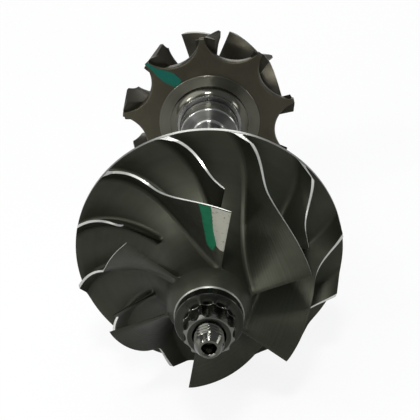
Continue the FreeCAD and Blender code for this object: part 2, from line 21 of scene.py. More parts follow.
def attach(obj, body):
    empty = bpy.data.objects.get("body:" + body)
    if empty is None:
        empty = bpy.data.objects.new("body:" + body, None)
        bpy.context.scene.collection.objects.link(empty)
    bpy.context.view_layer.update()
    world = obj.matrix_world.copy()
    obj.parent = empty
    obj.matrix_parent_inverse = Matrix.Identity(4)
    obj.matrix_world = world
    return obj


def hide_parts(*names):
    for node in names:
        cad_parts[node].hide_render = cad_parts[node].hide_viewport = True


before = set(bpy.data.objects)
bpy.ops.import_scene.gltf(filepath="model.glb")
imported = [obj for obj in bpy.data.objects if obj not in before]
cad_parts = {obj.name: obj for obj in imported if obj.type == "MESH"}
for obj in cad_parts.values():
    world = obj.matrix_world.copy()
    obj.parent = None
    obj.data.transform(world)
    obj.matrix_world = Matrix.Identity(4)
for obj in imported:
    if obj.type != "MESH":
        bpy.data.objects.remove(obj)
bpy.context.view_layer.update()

log = logging.getLogger("rotor")
MM = 0.001
CLOSE = 1e-6
TINY = 1e-12
ROTOR = "rotor"
Colour = tuple[float, float, float]
Corner = tuple[float, float]
Ring = tuple[np.ndarray | float, np.ndarray | float]
Surface = Callable[[np.ndarray, np.ndarray, float], np.ndarray]
Materials = dict[str, bpy.types.Material]


def put(name: str, data: bpy.types.ID) -> bpy.types.Object:
    """Puts a new object in the scene.

    Args:
        name: Its name.
        data: Its mesh, lamp or camera.

    Returns:
        The object.
    """
    item = bpy.data.objects.new(name, data)
    bpy.context.scene.collection.objects.link(item)
    return item


# Shapes

NEARLY_STRAIGHT = math.radians(164.5)
MOST_OF_EDGE = 0.4


def arc(centre: Corner, radius: float, start: float, end: float, steps: int) -> list[Corner]:
    """Points along an arc in a half section.

    Args:
        centre: Its centre as (radius, y).
        radius: Its own radius.
        start: First angle in degrees, from the radial direction towards +y.
        end: Last angle.
        steps: Number of chords.

    Returns:
        The points, both ends included.
    """
    turns = [math.radians(start + (end - start) * k / steps) for k in range(steps + 1)]
    return [(centre[0] + radius * math.cos(a), centre[1] + radius * math.sin(a)) for a in turns]


def bend(start: Vector, middle: Vector, end: Vector, steps: int) -> list[Corner]:
    """Points along a curve that is pulled towards its middle point.

    Args:
        start: Its first point.
        middle: The point that pulls it.
        end: Its last point.
        steps: Number of chords.

    Returns:
        The points, both ends included.
    """
    points = []
    for t in (k / steps for k in range(steps + 1)):
        point = start * (1 - t) ** 2 + middle * 2 * t * (1 - t) + end * t * t
        points.append((point.x, point.y))
    return points


def soften(corners: Sequence[Corner], radius: float, steps: int = 3) -> list[Corner]:
    """Rounds the corners of an open half section slightly, as real turned edges are.

    Args:
        corners: The section's points.
        radius: Length of edge that the rounding takes, at most.
        steps: Number of chords in each rounding.

    Returns:
        The section with more points.
    """
    out: list[Corner] = [corners[0]]
    for before, here, after in zip(corners, corners[1:], corners[2:]):
        corner = Vector(here)
        back, on = Vector(before) - corner, Vector(after) - corner
        if min(back.length, on.length) < CLOSE or back.angle(on) > NEARLY_STRAIGHT:
            out.append(here)
            continue
        start = corner + back.normalized() * min(radius, back.length * MOST_OF_EDGE)
        end = corner + on.normalized() * min(radius, on.length * MOST_OF_EDGE)
        out += bend(start, corner, end, steps)
    return [*out, corners[-1]]


def around(turns: np.ndarray, radius: np.ndarray | float, y: np.ndarray | float) -> np.ndarray:
    """Points around the rotor's axis.

    Args:
        turns: Their angles in radians.
        radius: Their radius, one for all or one for each.
        y: Their y, likewise.

    Returns:
        An array with one more axis, of length 3.
    """
    return np.stack([radius * np.cos(turns), y * np.ones_like(turns), radius * np.sin(turns)],
                    axis=-1)


def full_turn(steps: int) -> np.ndarray:
    """Evenly spaced angles of a whole turn, in radians."""
    return np.arange(steps) * 2 * math.pi / steps


class Shell:
    """Points and faces of a piece, in millimetres, with a mask on its faces.

    The mask is 1 on surfaces that were turned bright after the rest was finished. On the nut it
    also holds a painted highlight along the foot and painted light on the side walls.
    """

    def __init__(self) -> None:
        """Starts with nothing in it."""
        self.points: list[np.ndarray] = []
        self.faces: list[tuple[int, ...]] = []
        self.bright: list[float] = []
        self.flow: list[np.ndarray] = []
        self.count = 0

    def add_points(self, rows: np.ndarray, flow: np.ndarray | None = None) -> np.ndarray:
        """Adds a grid of points.

        Args:
            rows: Array of shape (rows, columns, 3).
            flow: Place along and across a blade for each point, shape (rows, columns, 2).

        Returns:
            Indices of the points, shape (rows, columns).
        """
        shape = rows.shape[:2]
        index = np.arange(shape[0] * shape[1]).reshape(shape) + self.count
        self.points.append(rows.reshape(-1, 3))
        self.flow.append(np.zeros((index.size, 2)) if flow is None else flow.reshape(-1, 2))
        self.count += index.size
        return index

    def add_face(self, corners: Sequence[int], bright: float = 0.0) -> None:
        """Adds one face; corners that repeat are dropped.

        Args:
            corners: Indices of its points.
            bright: Its mask.
        """
        kept = tuple(dict.fromkeys(int(c) for c in corners))
        if len(kept) > 2:
            self.faces.append(kept)
            self.bright.append(bright)

    def skin(self, index: np.ndarray, bright: np.ndarray | float = 0.0,
             close_columns: bool = False, close_rows: bool = False) -> None:
        """Covers a grid of points with quads.

        Args:
            index: Indices of the points.
            bright: Mask for all the faces, or one value for each row of faces.
            close_columns: Whether the last column joins the first.
            close_rows: Whether the last row joins the first.
        """
        rows, columns = index.shape
        for i in range(rows if close_rows else rows - 1):
            below, above = index[i], index[(i + 1) % rows]
            mask = float(bright[i]) if isinstance(bright, np.ndarray) else float(bright)
            for j in range(columns if close_columns else columns - 1):
                k = (j + 1) % columns
                self.add_face((below[j], below[k], above[k], above[j]), mask)

    def fan(self, ring: np.ndarray, point: Sequence[float]) -> None:
        """Closes a ring of points with triangles to one more point.

        Args:
            ring: Indices of the ring's points.
            point: The point that they all meet in.
        """
        tip = self.add_points(np.array([[point]], dtype=float))[0, 0]
        for here, after in zip(ring, np.roll(ring, -1)):
            self.add_face((tip, here, after))

    def mesh(self, name: str, sharp: float = 32.0) -> bpy.types.Mesh:
        """Makes the mesh, in metres, with faces outwards and sharp edges marked.

        Args:
            name: Name of the mesh.
            sharp: Edges that turn by more than this many degrees stay crisp.

        Returns:
            The mesh.
        """
        mesh = bpy.data.meshes.new(name)
        mesh.from_pydata((np.concatenate(self.points) * MM).tolist(), [], self.faces)
        work = bmesh.new()
        work.from_mesh(mesh)
        bmesh.ops.recalc_face_normals(work, faces=work.faces[:])
        work.to_mesh(mesh)
        work.free()
        mask = mesh.attributes.new("bright", "FLOAT", "FACE")
        mask.data.foreach_set("value", self.bright)
        flow = np.concatenate(self.flow)
        for k, label in enumerate(("along", "across")):
            layer = mesh.attributes.new(label, "FLOAT", "POINT")
            layer.data.foreach_set("value", flow[:, k].astype(np.float32))
        mesh.shade_smooth()
        mesh.set_sharp_from_angle(angle=math.radians(sharp))
        return mesh

    def share_out(self, mesh: bpy.types.Mesh, finishes: Sequence[bpy.types.Material]) -> None:
        """Gives each face one of several finishes by its mask, and clears the mesh's mask.

        Args:
            mesh: The mesh that was made from this shell.
            finishes: The materials, from the one for mask 0 to the one for mask 1.
        """
        for finish in finishes:
            mesh.materials.append(finish)
        index = [round(b * (len(finishes) - 1)) for b in self.bright]
        mesh.polygons.foreach_set("material_index", index)
        mesh.attributes["bright"].data.foreach_set("value", [0.0] * len(index))


def revolve(turns: np.ndarray, rings: Sequence[Ring], bright: np.ndarray | float = 0.0,
            poles: tuple[float, float] | None = None) -> Shell:
    """Skins a row of rings around the rotor's axis.

    Args:
        turns: Angle of each point of a ring, in radians.
        rings: Radius and y of each ring, each of them one value or one for each angle.
        bright: Mask for all the faces, or one value for each row of faces.
        poles: y of the points on the axis that close the first and the last ring, or None
            where the last ring joins the first.

    Returns:
        A closed shell.
    """
    shell = Shell()
    index = shell.add_points(np.array([around(turns, radius, y) for radius, y in rings]))
    shell.skin(index, bright, close_columns=True, close_rows=poles is None)
    for ring, y in zip((index[0], index[-1]), poles or ()):
        shell.fan(ring, (0.0, y, 0.0))
    return shell


def lathe(section: Sequence[Corner], steps: int,
          bright: Callable[[Corner], float] | None = None) -> Shell:
    """Turns a half section fully around the rotor's axis.

    Args:
        section: Points (radius, y). Its ends lie on the axis, or the section closes on itself.
        steps: Number of faces around.
        bright: Mask as a function of the middle of an edge of the section.

    Returns:
        A closed shell.
    """
    first, last = section[0], section[-1]
    solid = first[0] < CLOSE and last[0] < CLOSE
    inner = section[1:-1] if solid else section
    mask = np.zeros(len(inner))
    if bright:
        for i, (a, b) in enumerate(zip(inner, [*inner[1:], inner[0]])):
            mask[i] = bright(((a[0] + b[0]) / 2, (a[1] + b[1]) / 2))
    return revolve(full_turn(steps), inner, mask, (first[1], last[1]) if solid else None)


@dataclass(frozen=True)
class Meridian:
    """A wheel in half section: hub and shroud lines as (radius, height) at a station.

    The station runs from 0 at the wheel's small end to 1 at its large end. The hub line ends at
    the radius big and the height hub_big, the shroud line at the same radius and shroud_big.
    """

    big: float
    hub_big: float
    shroud_big: float
    hub_small: Corner
    shroud_small: Corner
    tight: float

    def hub(self, station: float) -> Corner:
        """Point on the hub, a quarter of an ellipse.

        Args:
            station: Place along the wheel.

        Returns:
            Its radius and height.
        """
        turn = math.radians(90 * station)
        radial = self.big - self.hub_small[0]
        axial = self.hub_small[1] - self.hub_big
        return (self.big - radial * math.cos(turn), self.hub_small[1] - axial * math.sin(turn))

    def shroud(self, station: float) -> Corner:
        """Point on the shroud, which is a wide arc and then a tight one.

        Args:
            station: Place along the wheel.

        Returns:
            Its radius and height.
        """
        radial = self.big - self.shroud_small[0]
        axial = self.shroud_small[1] - self.shroud_big
        wide = (radial ** 2 + axial ** 2 - 2 * axial * self.tight) / (2 * (radial - self.tight))
        centre = (self.shroud_small[0] + wide, self.shroud_small[1])
        tight_centre = (self.big, self.shroud_big + self.tight)
        split = math.atan2(centre[1] - tight_centre[1], centre[0] - tight_centre[0])
        way = station * (wide * split + self.tight * (math.pi / 2 - split))
        turn, radius = way / wide, wide
        if way > wide * split:
            turn, radius = split + (way - wide * split) / self.tight, self.tight
            centre = tight_centre
        return (centre[0] - radius * math.cos(turn), centre[1] - radius * math.sin(turn))


@dataclass(frozen=True)
class BladeForm:
    """Thicknesses of a blade and how its edges are rounded.

    The thickness at the wheel's small end is small_share of the full one, at its large end
    big_share, and taper says how it grows between them.
    """

    root: float
    tip: float
    fillet: float
    small_edge: float
    big_edge: float
    small_share: float = 1.0
    big_share: float = 1.04
    taper: float = 0.8
    least_facing: float = 0.3


@dataclass(frozen=True)
class Blade:
    """One blade of a wheel as a surface over (station, span).

    angles gives the foot's and the tip's angle at a station; up is the sign of y for a growing
    height, and origin the y of height 0. The grid is finer at the start and at the foot.
    """

    curve: Meridian
    angles: Callable[[float], tuple[float, float]]
    form: BladeForm
    origin: float
    up: float
    start: float = 0.0
    early_stations: tuple[float, ...] = (0.0015, 0.004, 0.008)
    crowding: float = 0.35
    foot_spans: tuple[float, ...] = (-0.05, 0.0, 0.012, 0.03, 0.055, 0.085)
    even_from: float = 0.12

    def place(self, station: float, span: float) -> np.ndarray:
        """Point of the middle surface.

        Args:
            station: 0 at the wheel's small end, 1 at its large end.
            span: 0 on the hub, 1 on the shroud.

        Returns:
            The point.
        """
        low, high = (
            around(np.radians(angle), radius, self.origin + self.up * height)
            for angle, (radius, height) in zip(
                self.angles(station), (self.curve.hub(station), self.curve.shroud(station))))
        return low + (high - low) * span

    def sheets(self, stations: np.ndarray, spans: np.ndarray) -> tuple[np.ndarray, np.ndarray]:
        """Both side faces of the blade, as grids with one row for each span.

        Each side is the middle surface turned about the axis, so the tip stays on the shroud line
        and the foot on the hub.

        Args:
            stations: Places along the blade.
            spans: Places across it.

        Returns:
            The two grids.
        """
        middle = np.array([[self.place(s, t) for s in stations] for t in spans])
        normal = np.cross(np.gradient(middle, axis=1), np.gradient(middle, axis=0))
        normal /= np.linalg.norm(normal, axis=2, keepdims=True) + TINY
        radius = np.hypot(middle[:, :, 0], middle[:, :, 2])
        angle = np.arctan2(middle[:, :, 2], middle[:, :, 0])
        form = self.form
        tangent = np.stack([-np.sin(angle), np.zeros_like(angle), np.cos(angle)], axis=2)
        facing = np.clip(np.abs((normal * tangent).sum(axis=2)), form.least_facing, 1.0)
        step = np.linalg.norm(np.diff(middle, axis=1), axis=2)
        way = np.concatenate([np.zeros((len(spans), 1)), np.cumsum(step, axis=1)], axis=1)
        height = np.linalg.norm(middle - middle[np.searchsorted(spans, 0.0)][None], axis=2)
        height = np.where(spans[:, None] <= 0, 0.0, height)
        share = np.clip(spans, 0, 1)[:, None]
        half = (form.root * (1 - share) + form.tip * share) / 2
        half = half * (form.small_share + (form.big_share - form.small_share)
                       * stations[None, :] ** form.taper)
        near = np.clip(form.fillet - height, 0, form.fillet)
        half = half + form.fillet - np.sqrt(form.fillet ** 2 - near ** 2)
        for edge, distance in ((form.small_edge, way), (form.big_edge, way[:, -1:] - way)):
            if edge > 0:
                part = np.clip(1 - distance / edge, 0, 1)
                half = half * np.sqrt(np.clip(1 - part ** 2, 0, 1))
        turn = half / (radius * facing)
        return (around(angle + turn, radius, middle[:, :, 1]),
                around(angle - turn, radius, middle[:, :, 1]))

    def shell(self, steps: int, rows: int) -> Shell:
        """The blade as a closed shell, its shroud edge and its square end marked bright.

        Args:
            steps: Faces along the blade.
            rows: Faces across it.

        Returns:
            The shell.
        """
        t = np.linspace(0, 1, steps + 1)
        t = self.crowding * t ** 2 + (1 - self.crowding) * t
        t = np.concatenate([t[:1], self.early_stations, t[1:]])
        stations = self.start + (1 - self.start) * t
        spans = np.concatenate([self.foot_spans, np.linspace(self.even_from, 1, rows)])
        one, two = self.sheets(stations, spans)
        joined = self.form.big_edge > 0
        inner = slice(1, -1) if joined else slice(1, None)
        loop = np.concatenate([one, two[:, inner][:, ::-1]], axis=1)
        along = np.concatenate([stations, stations[inner][::-1]])
        shell = Shell()
        index = shell.add_points(loop, np.stack(np.meshgrid(along, spans), axis=2))
        last, width = len(stations) - 1, index.shape[1]
        for below, above in zip(index, index[1:]):
            for j in range(width):
                k = (j + 1) % width
                square_end = not joined and j == last
                shell.add_face((below[j], below[k], above[k], above[j]), float(square_end))
        for row, mask in ((index[0], 0.0), (index[-1], 1.0)):
            for j in range(last):
                other, further = (width - j) % width, (width - j - 1) % width
                shell.add_face((row[j], row[j + 1], row[further], row[other]), mask)
        return shell


# Repeats by Geometry Nodes

class CopiesAround:
    """Geometry Nodes tree that repeats a mesh evenly around the rotor's axis."""

    def __init__(self) -> None:
        """Builds the tree once; every row of blades uses it."""
        tree = bpy.data.node_groups.new("copies_around", "GeometryNodeTree")
        face = tree.interface
        face.new_socket("Geometry", in_out="INPUT", socket_type="NodeSocketGeometry")
        count = face.new_socket("Count", in_out="INPUT", socket_type="NodeSocketInt")
        finish = face.new_socket("Finish", in_out="INPUT", socket_type="NodeSocketMaterial")
        face.new_socket("Geometry", in_out="OUTPUT", socket_type="NodeSocketGeometry")
        self.tree, self.count_id, self.finish_id = tree, count.identifier, finish.identifier
        new, link = tree.nodes.new, tree.links.new
        given, out = new("NodeGroupInput"), new("NodeGroupOutput")
        points, place = new("GeometryNodePoints"), new("GeometryNodeInstanceOnPoints")
        index, turn = new("GeometryNodeInputIndex"), new("ShaderNodeMath")
        share, axis = new("ShaderNodeMath"), new("ShaderNodeCombineXYZ")
        euler = new("FunctionNodeEulerToRotation")
        real, paint = new("GeometryNodeRealizeInstances"), new("GeometryNodeSetMaterial")
        share.operation, turn.operation = "DIVIDE", "MULTIPLY"
        share.inputs[0].default_value = -2 * math.pi
        for source, target in (
                (given.outputs["Count"], points.inputs["Count"]),
                (given.outputs["Count"], share.inputs[1]),
                (index.outputs[0], turn.inputs[0]),
                (share.outputs[0], turn.inputs[1]),
                (turn.outputs[0], axis.inputs["Y"]),
                (axis.outputs[0], euler.inputs[0]),
                (points.outputs[0], place.inputs["Points"]),
                (given.outputs["Geometry"], place.inputs["Instance"]),
                (euler.outputs[0], place.inputs["Rotation"]),
                (place.outputs[0], real.inputs[0]),
                (real.outputs[0], paint.inputs["Geometry"]),
                (given.outputs["Finish"], paint.inputs["Material"]),
                (paint.outputs[0], out.inputs[0])):
            link(source, target)

    def make(self, name: str, mesh: bpy.types.Mesh, count: int,
             finish: bpy.types.Material) -> bpy.types.Mesh:
        """Repeats a mesh and turns the result into a plain one.

        Args:
            name: Name of the new mesh.
            mesh: One copy, in its place.
            count: Number of copies.
            finish: Material of all of them.

        Returns:
            The mesh of all the copies.
        """
        seed = put(name + "_seed", mesh)
        modifier = seed.modifiers.new("copies", "NODES")
        modifier.node_group = self.tree
        modifier[self.count_id] = count
        modifier[self.finish_id] = finish
        graph = bpy.context.evaluated_depsgraph_get()
        plain = bpy.data.meshes.new_from_object(seed.evaluated_get(graph), depsgraph=graph)
        bpy.data.objects.remove(seed)
        plain.name = name
        return plain


# Finishes

class Graph:
    """Short ways to add and join nodes in one tree."""

    def __init__(self, tree: bpy.types.NodeTree) -> None:
        """Keeps the tree."""
        self.tree = tree

    def fill(self, node: bpy.types.Node, **inputs: object) -> bpy.types.Node:
        """Sets or links inputs of a node.

        Args:
            node: The node.
            inputs: Values or sockets by input name, with _ for a space; i0, i1 are by place.

        Returns:
            The same node.
        """
        for key, value in inputs.items():
            place = int(key[1:]) if key[0] == "i" and key[1:].isdigit() else key.replace("_", " ")
            socket = node.inputs[place]
            if isinstance(value, bpy.types.NodeSocket):
                self.tree.links.new(value, socket)
            else:
                socket.default_value = value
        return node

    def node(self, kind: str, **inputs: object) -> bpy.types.Node:
        """Adds a node of this type and fills its inputs."""
        return self.fill(self.tree.nodes.new(kind), **inputs)

    def group(self, tree: bpy.types.NodeTree, **inputs: object) -> bpy.types.Node:
        """Adds a shared effect.

        Args:
            tree: The effect.
            inputs: As in fill.

        Returns:
            Its node.
        """
        node = self.tree.nodes.new("ShaderNodeGroup")
        node.node_tree = tree
        return self.fill(node, **inputs)

    def where(self) -> bpy.types.NodeSocket:
        """Adds the object's own coordinates."""
        return self.node("ShaderNodeTexCoord").outputs["Object"]

    def attribute(self, name: str) -> bpy.types.NodeSocket:
        """Adds one of the mesh's attributes as a number.

        Args:
            name: The attribute.

        Returns:
            The number.
        """
        node = self.tree.nodes.new("ShaderNodeAttribute")
        node.attribute_name = name
        return node.outputs["Fac"]

    def math(self, operation: str, first: object, second: object = 0.0) -> bpy.types.NodeSocket:
        """Adds a Math node.

        Args:
            operation: What it does.
            first: Its first number or socket.
            second: Its second one, where it takes two.

        Returns:
            Its output.
        """
        node = self.tree.nodes.new("ShaderNodeMath")
        node.operation = operation
        return self.fill(node, i0=first, i1=second).outputs[0]

    def plus(self, first: object, second: object) -> bpy.types.NodeSocket:
        """Adds two numbers."""
        return self.math("ADD", first, second)

    def times(self, first: object, second: object) -> bpy.types.NodeSocket:
        """Multiplies two numbers."""
        return self.math("MULTIPLY", first, second)

    def mix(self, share: object, first: object, second: object) -> bpy.types.NodeSocket:
        """Adds a colour Mix node.

        Args:
            share: How much there is of the second colour.
            first: A colour or a socket.
            second: Likewise.

        Returns:
            Its output.
        """
        node = self.tree.nodes.new("ShaderNodeMix")
        node.data_type = "RGBA"
        first, second = ((*c, 1) if isinstance(c, tuple) else c for c in (first, second))
        return self.fill(node, i0=share, i6=first, i7=second).outputs[2]

    def ramp(self, value: object, low: float, high: float, to_low: object = 0.0,
             to_high: object = 1.0) -> bpy.types.NodeSocket:
        """Adds a clamped Map Range.

        Args:
            value: What it maps.
            low: The value that gives to_low.
            high: The value that gives to_high.
            to_low: A number or a socket.
            to_high: Likewise.

        Returns:
            Its output.
        """
        return self.node("ShaderNodeMapRange", Value=value, From_Min=low, From_Max=high,
                         To_Min=to_low, To_Max=to_high).outputs[0]

    def noise(self, where: object, scale: object, detail: float, rough: float = 0.5,
              lines: bool = False) -> bpy.types.NodeSocket:
        """Adds a Noise texture.

        Args:
            where: The place, or one number for lines.
            scale: How fine it is.
            detail: Number of finer layers.
            rough: How strong they are.
            lines: Whether it runs over one number.

        Returns:
            Its value.
        """
        node = self.tree.nodes.new("ShaderNodeTexNoise")
        node.noise_dimensions = "1D" if lines else "3D"
        self.fill(node, Scale=scale, Detail=detail, Roughness=rough)
        return self.fill(node, **{"W" if lines else "Vector": where}).outputs[0]


class Marks(Enum):
    """What the last tool left on a surface."""

    TURNED = "turned"
    MILLED = "milled"
    CAST = "cast"


class Effects:
    """Shader groups that several finishes share, each built once."""

    def __init__(self) -> None:
        """Builds the groups."""
        self.patina = self.build_patina()
        self.tools = {Marks.TURNED: self.build_turning(), Marks.MILLED: self.build_milling(),
                      Marks.CAST: self.build_grain()}

    @staticmethod
    def start(name: str, knob: str, default: float, *results: str
              ) -> tuple[Graph, bpy.types.NodeSocket, bpy.types.Node]:
        """Opens a new group of numbers.

        Args:
            name: Its name.
            knob: Its input.
            default: What the input is where a finish doesn't set it.
            results: Its outputs.

        Returns:
            Its graph, the input's socket and the output node.
        """
        tree = bpy.data.node_groups.new(name, "ShaderNodeTree")
        face, kind = tree.interface, "NodeSocketFloat"
        face.new_socket(knob, in_out="INPUT", socket_type=kind).default_value = default
        for label in results:
            face.new_socket(label, in_out="OUTPUT", socket_type=kind)
        given, out = tree.nodes.new("NodeGroupInput"), tree.nodes.new("NodeGroupOutput")
        return Graph(tree), given.outputs[0], out

    def build_grain(self) -> bpy.types.NodeTree:
        """Cast or blasted skin: a fine uneven height and a mask of small pits.

        Returns:
            The group.
        """
        g, scale, out = self.start("cast_grain", "Scale", 900.0, "Height", "Pits")
        where, coarser, half = g.where(), 0.22, 0.5
        fine = g.noise(where, scale, detail=4.0, rough=0.6)
        coarse = g.noise(where, g.times(scale, coarser), detail=3.0)
        g.fill(out, Height=g.plus(g.times(fine, half), g.times(coarse, half)),
               Pits=g.ramp(fine, 0.60, 0.72))
        return g.tree

    def build_turning(self) -> bpy.types.NodeTree:
        """Tool marks that run around the axis, on faces and on cylinders alike.

        Returns:
            The group.
        """
        g, scale, out = self.start("turning_marks", "Scale", 9000.0, "Height", "Bands")
        slant, wider = 0.83, 0.12
        xyz = g.node("ShaderNodeSeparateXYZ", i0=g.where())
        flat = g.node("ShaderNodeCombineXYZ", X=xyz.outputs[0], Z=xyz.outputs[2])
        radius = g.node("ShaderNodeVectorMath", i0=flat.outputs[0])
        radius.operation = "LENGTH"
        way = g.plus(radius.outputs["Value"], g.times(xyz.outputs[1], slant))
        g.fill(out, Height=g.noise(way, scale, detail=2.0, rough=0.6, lines=True),
               Bands=g.noise(way, g.times(scale, wider), detail=2.0, lines=True))
        return g.tree

    def build_milling(self) -> bpy.types.NodeTree:
        """Cutter paths that follow a blade from its leading edge to its tip.

        Returns:
            The group.
        """
        g, paths, out = self.start("milling_marks", "Paths", 26.0, "Height", "Bands")
        turn, wave_height, wander, slant = 6.283, 0.3, 0.05, 0.2
        place = g.plus(g.attribute("across"), g.times(g.noise(g.where(), 60.0, detail=1.0), wander))
        wave = g.math("SINE", g.times(g.times(place, paths), turn))
        bands = g.noise(g.plus(place, g.times(g.attribute("along"), slant)), paths, detail=2.0,
                        rough=0.6, lines=True)
        g.fill(out, Height=g.plus(g.times(wave, wave_height), bands), Bands=bands)
        return g.tree

    def build_patina(self) -> bpy.types.NodeTree:
        """Uneven tone from oil film and handling, over centimetres and millimetres.

        Returns:
            The group.
        """
        g, scale, out = self.start("patina", "Scale", 70.0, "Tone", "Smears")
        where, stretch, finer = g.where(), (1.0, 0.35, 1.6), 3.0
        tone = g.noise(where, scale, detail=4.0, rough=0.55)
        drawn = g.node("ShaderNodeMapping", Vector=where, Scale=stretch).outputs[0]
        smears = g.noise(drawn, g.times(scale, finer), detail=5.0, rough=0.65)
        g.fill(out, Tone=g.ramp(tone, 0.3, 0.7), Smears=g.ramp(smears, 0.45, 0.7))
        return g.tree


def new_material(name: str) -> tuple[bpy.types.Material, Graph, bpy.types.Node]:
    """Makes a material.

    Args:
        name: Its name.

    Returns:
        The material, its graph and its Principled shader.
    """
    material = bpy.data.materials.new(name)
    material.use_nodes = True
    return material, Graph(material.node_tree), material.node_tree.nodes["Principled BSDF"]


@dataclass(frozen=True)
class Metal:
    """A metal finish: two tones, its gloss, and the marks of its last tool.

    patina_share is how much of the tone the oil film gives, and the tool's marks give the rest.
    The surfaces of the mask have the colour bright, and shade times that where they are dull.
    """

    name: str
    dark: Colour
    light: Colour
    roughness: float
    marks: Marks
    depth: float = 0.02
    scale: float = 9000.0
    spread: float = 0.08
    anisotropy: float = 0.0
    bright: Colour = (0.62, 0.62, 0.58)
    bright_roughness: float = 0.22
    metallic: float = 1.0
    patina_share: float = 0.6
    shade: float = 0.55

    def build(self, effects: Effects) -> bpy.types.Material:
        """Makes the material.

        Args:
            effects: The shared shader groups.

        Returns:
            The material.
        """
        material, g, shader = new_material(self.name)
        patina = g.group(effects.patina)
        tool = g.group(effects.tools[self.marks], i0=self.scale)
        tone, mask = patina.outputs["Tone"], g.attribute("bright")
        share = g.plus(g.times(tone, self.patina_share),
                       g.times(tool.outputs[1], 1 - self.patina_share))
        shine = g.mix(tone, tuple(c * self.shade for c in self.bright), self.bright)
        rough = g.plus(self.roughness - self.spread / 2,
                       g.times(patina.outputs["Smears"], self.spread))
        bump = g.node("ShaderNodeBump", Strength=1.0, Distance=self.depth * MM,
                      Height=tool.outputs["Height"])
        g.fill(shader, Base_Color=g.mix(mask, g.mix(share, self.dark, self.light), shine),
               Roughness=g.ramp(mask, 0, 1, rough, self.bright_roughness),
               Metallic=self.metallic, Normal=bump.outputs[0], Anisotropic=self.anisotropy)
        if self.anisotropy:
            tangent = g.node("ShaderNodeTangent")
            tangent.direction_type, tangent.axis = "RADIAL", "Y"
            g.fill(shader, Anisotropic_Rotation=0.25, Tangent=tangent.outputs[0])
        return material


@dataclass(frozen=True)
class Paint:
    """A brushed-on workshop mark that lets some metal through."""

    name: str
    colour: Colour
    thin: Colour
    roughness: float
    metallic: float = 0.0
    scale: float = 260.0
    cover: float = 0.0
    depth: float = 0.02
    relief: float = 0.6
    gloss: float = 0.2

    def build(self, effects: Effects) -> bpy.types.Material:
        """Makes the material.

        Args:
            effects: The shared shader groups.

        Returns:
            The material.
        """
        material, g, shader = new_material(self.name)
        patina = g.group(effects.patina, i0=self.scale)
        thinned = g.ramp(patina.outputs["Smears"], self.cover, 1.0)
        bump = g.node("ShaderNodeBump", Strength=self.relief, Distance=self.depth * MM,
                      Height=patina.outputs["Tone"])
        g.fill(shader, Base_Color=g.mix(thinned, self.colour, self.thin),
               Roughness=self.roughness, Metallic=self.metallic, Normal=bump.outputs[0],
               Specular_IOR_Level=self.gloss)
        return material


@dataclass(frozen=True)
class Finishes:
    """Every finish on the rotor."""

    milled: Metal = Metal("milled_aluminium", (0.0215, 0.0225, 0.0145), (0.050, 0.052, 0.036),
                          0.50, Marks.MILLED, depth=0.012, scale=22.0,
                          bright=(0.80, 0.80, 0.75), bright_roughness=0.30, metallic=0.75)
    hub: Metal = Metal("milled_hub", (0.025, 0.026, 0.0177), (0.050, 0.052, 0.036),
                       0.48, Marks.TURNED, depth=0.008, scale=5200.0,
                       bright=(0.80, 0.80, 0.75), bright_roughness=0.30, metallic=0.75)
    cast: Metal = Metal("nickel_cast", (0.050, 0.046, 0.034), (0.100, 0.092, 0.071),
                        0.46, Marks.CAST, depth=0.045, scale=1500.0,
                        bright=(0.15, 0.143, 0.118), bright_roughness=0.32)
    face: Metal = Metal("nickel_face", (0.076, 0.069, 0.049), (0.128, 0.116, 0.086),
                        0.48, Marks.CAST, depth=0.030, scale=1500.0)
    land: Metal = Metal("turned_nickel", (0.145, 0.141, 0.113), (0.245, 0.239, 0.195),
                        0.33, Marks.TURNED, depth=0.004, scale=11000.0, anisotropy=0.9)
    flare: Metal = Metal("polished_nickel", (0.085, 0.082, 0.066), (0.150, 0.146, 0.120),
                         0.20, Marks.TURNED, depth=0.004, scale=11000.0, anisotropy=0.6)
    faced: Metal = Metal("faced_steel", (0.18, 0.18, 0.17), (0.31, 0.31, 0.295),
                         0.40, Marks.TURNED, depth=0.004, scale=12000.0, anisotropy=0.95)
    ground: Metal = Metal("ground_steel", (0.26, 0.26, 0.25), (0.42, 0.42, 0.40),
                          0.26, Marks.TURNED, depth=0.004, scale=14000.0, anisotropy=0.75)
    hardened: Metal = Metal("hardened_steel", (0.26, 0.26, 0.25), (0.44, 0.44, 0.42),
                            0.24, Marks.TURNED, depth=0.006, scale=11000.0, anisotropy=0.4)
    ring: Metal = Metal("ring_iron", (0.030, 0.030, 0.030), (0.070, 0.068, 0.064),
                        0.40, Marks.TURNED, depth=0.008, scale=12000.0)
    nut: Metal = Metal("dark_nut_steel", (0.020, 0.020, 0.016), (0.060, 0.060, 0.052),
                       0.26, Marks.TURNED, depth=0.006,
                       bright=(0.22, 0.22, 0.195), bright_roughness=0.17)
    thread: Metal = Metal("rolled_thread", (0.07, 0.07, 0.06), (0.17, 0.17, 0.145),
                          0.14, Marks.TURNED, depth=0.010, scale=7000.0)
    green: Paint = Paint("green_marking_paint", (0.001, 0.078, 0.032), (0.002, 0.098, 0.045), 0.6)
    faded: Paint = Paint("thin_green_paint", (0.001, 0.083, 0.052), (0.001, 0.068, 0.068), 0.6)
    bare: Paint = Paint("rubbed_metal", (0.35, 0.345, 0.29), (0.11, 0.11, 0.09), 0.42,
                        metallic=0.7, scale=520.0, cover=0.55)

    def build(self) -> Materials:
        """Makes every material and the effects that they share.

        Returns:
            The materials, by the names used here.
        """
        effects = Effects()
        return {one.name: getattr(self, one.name).build(effects) for one in fields(self)}


# Pieces

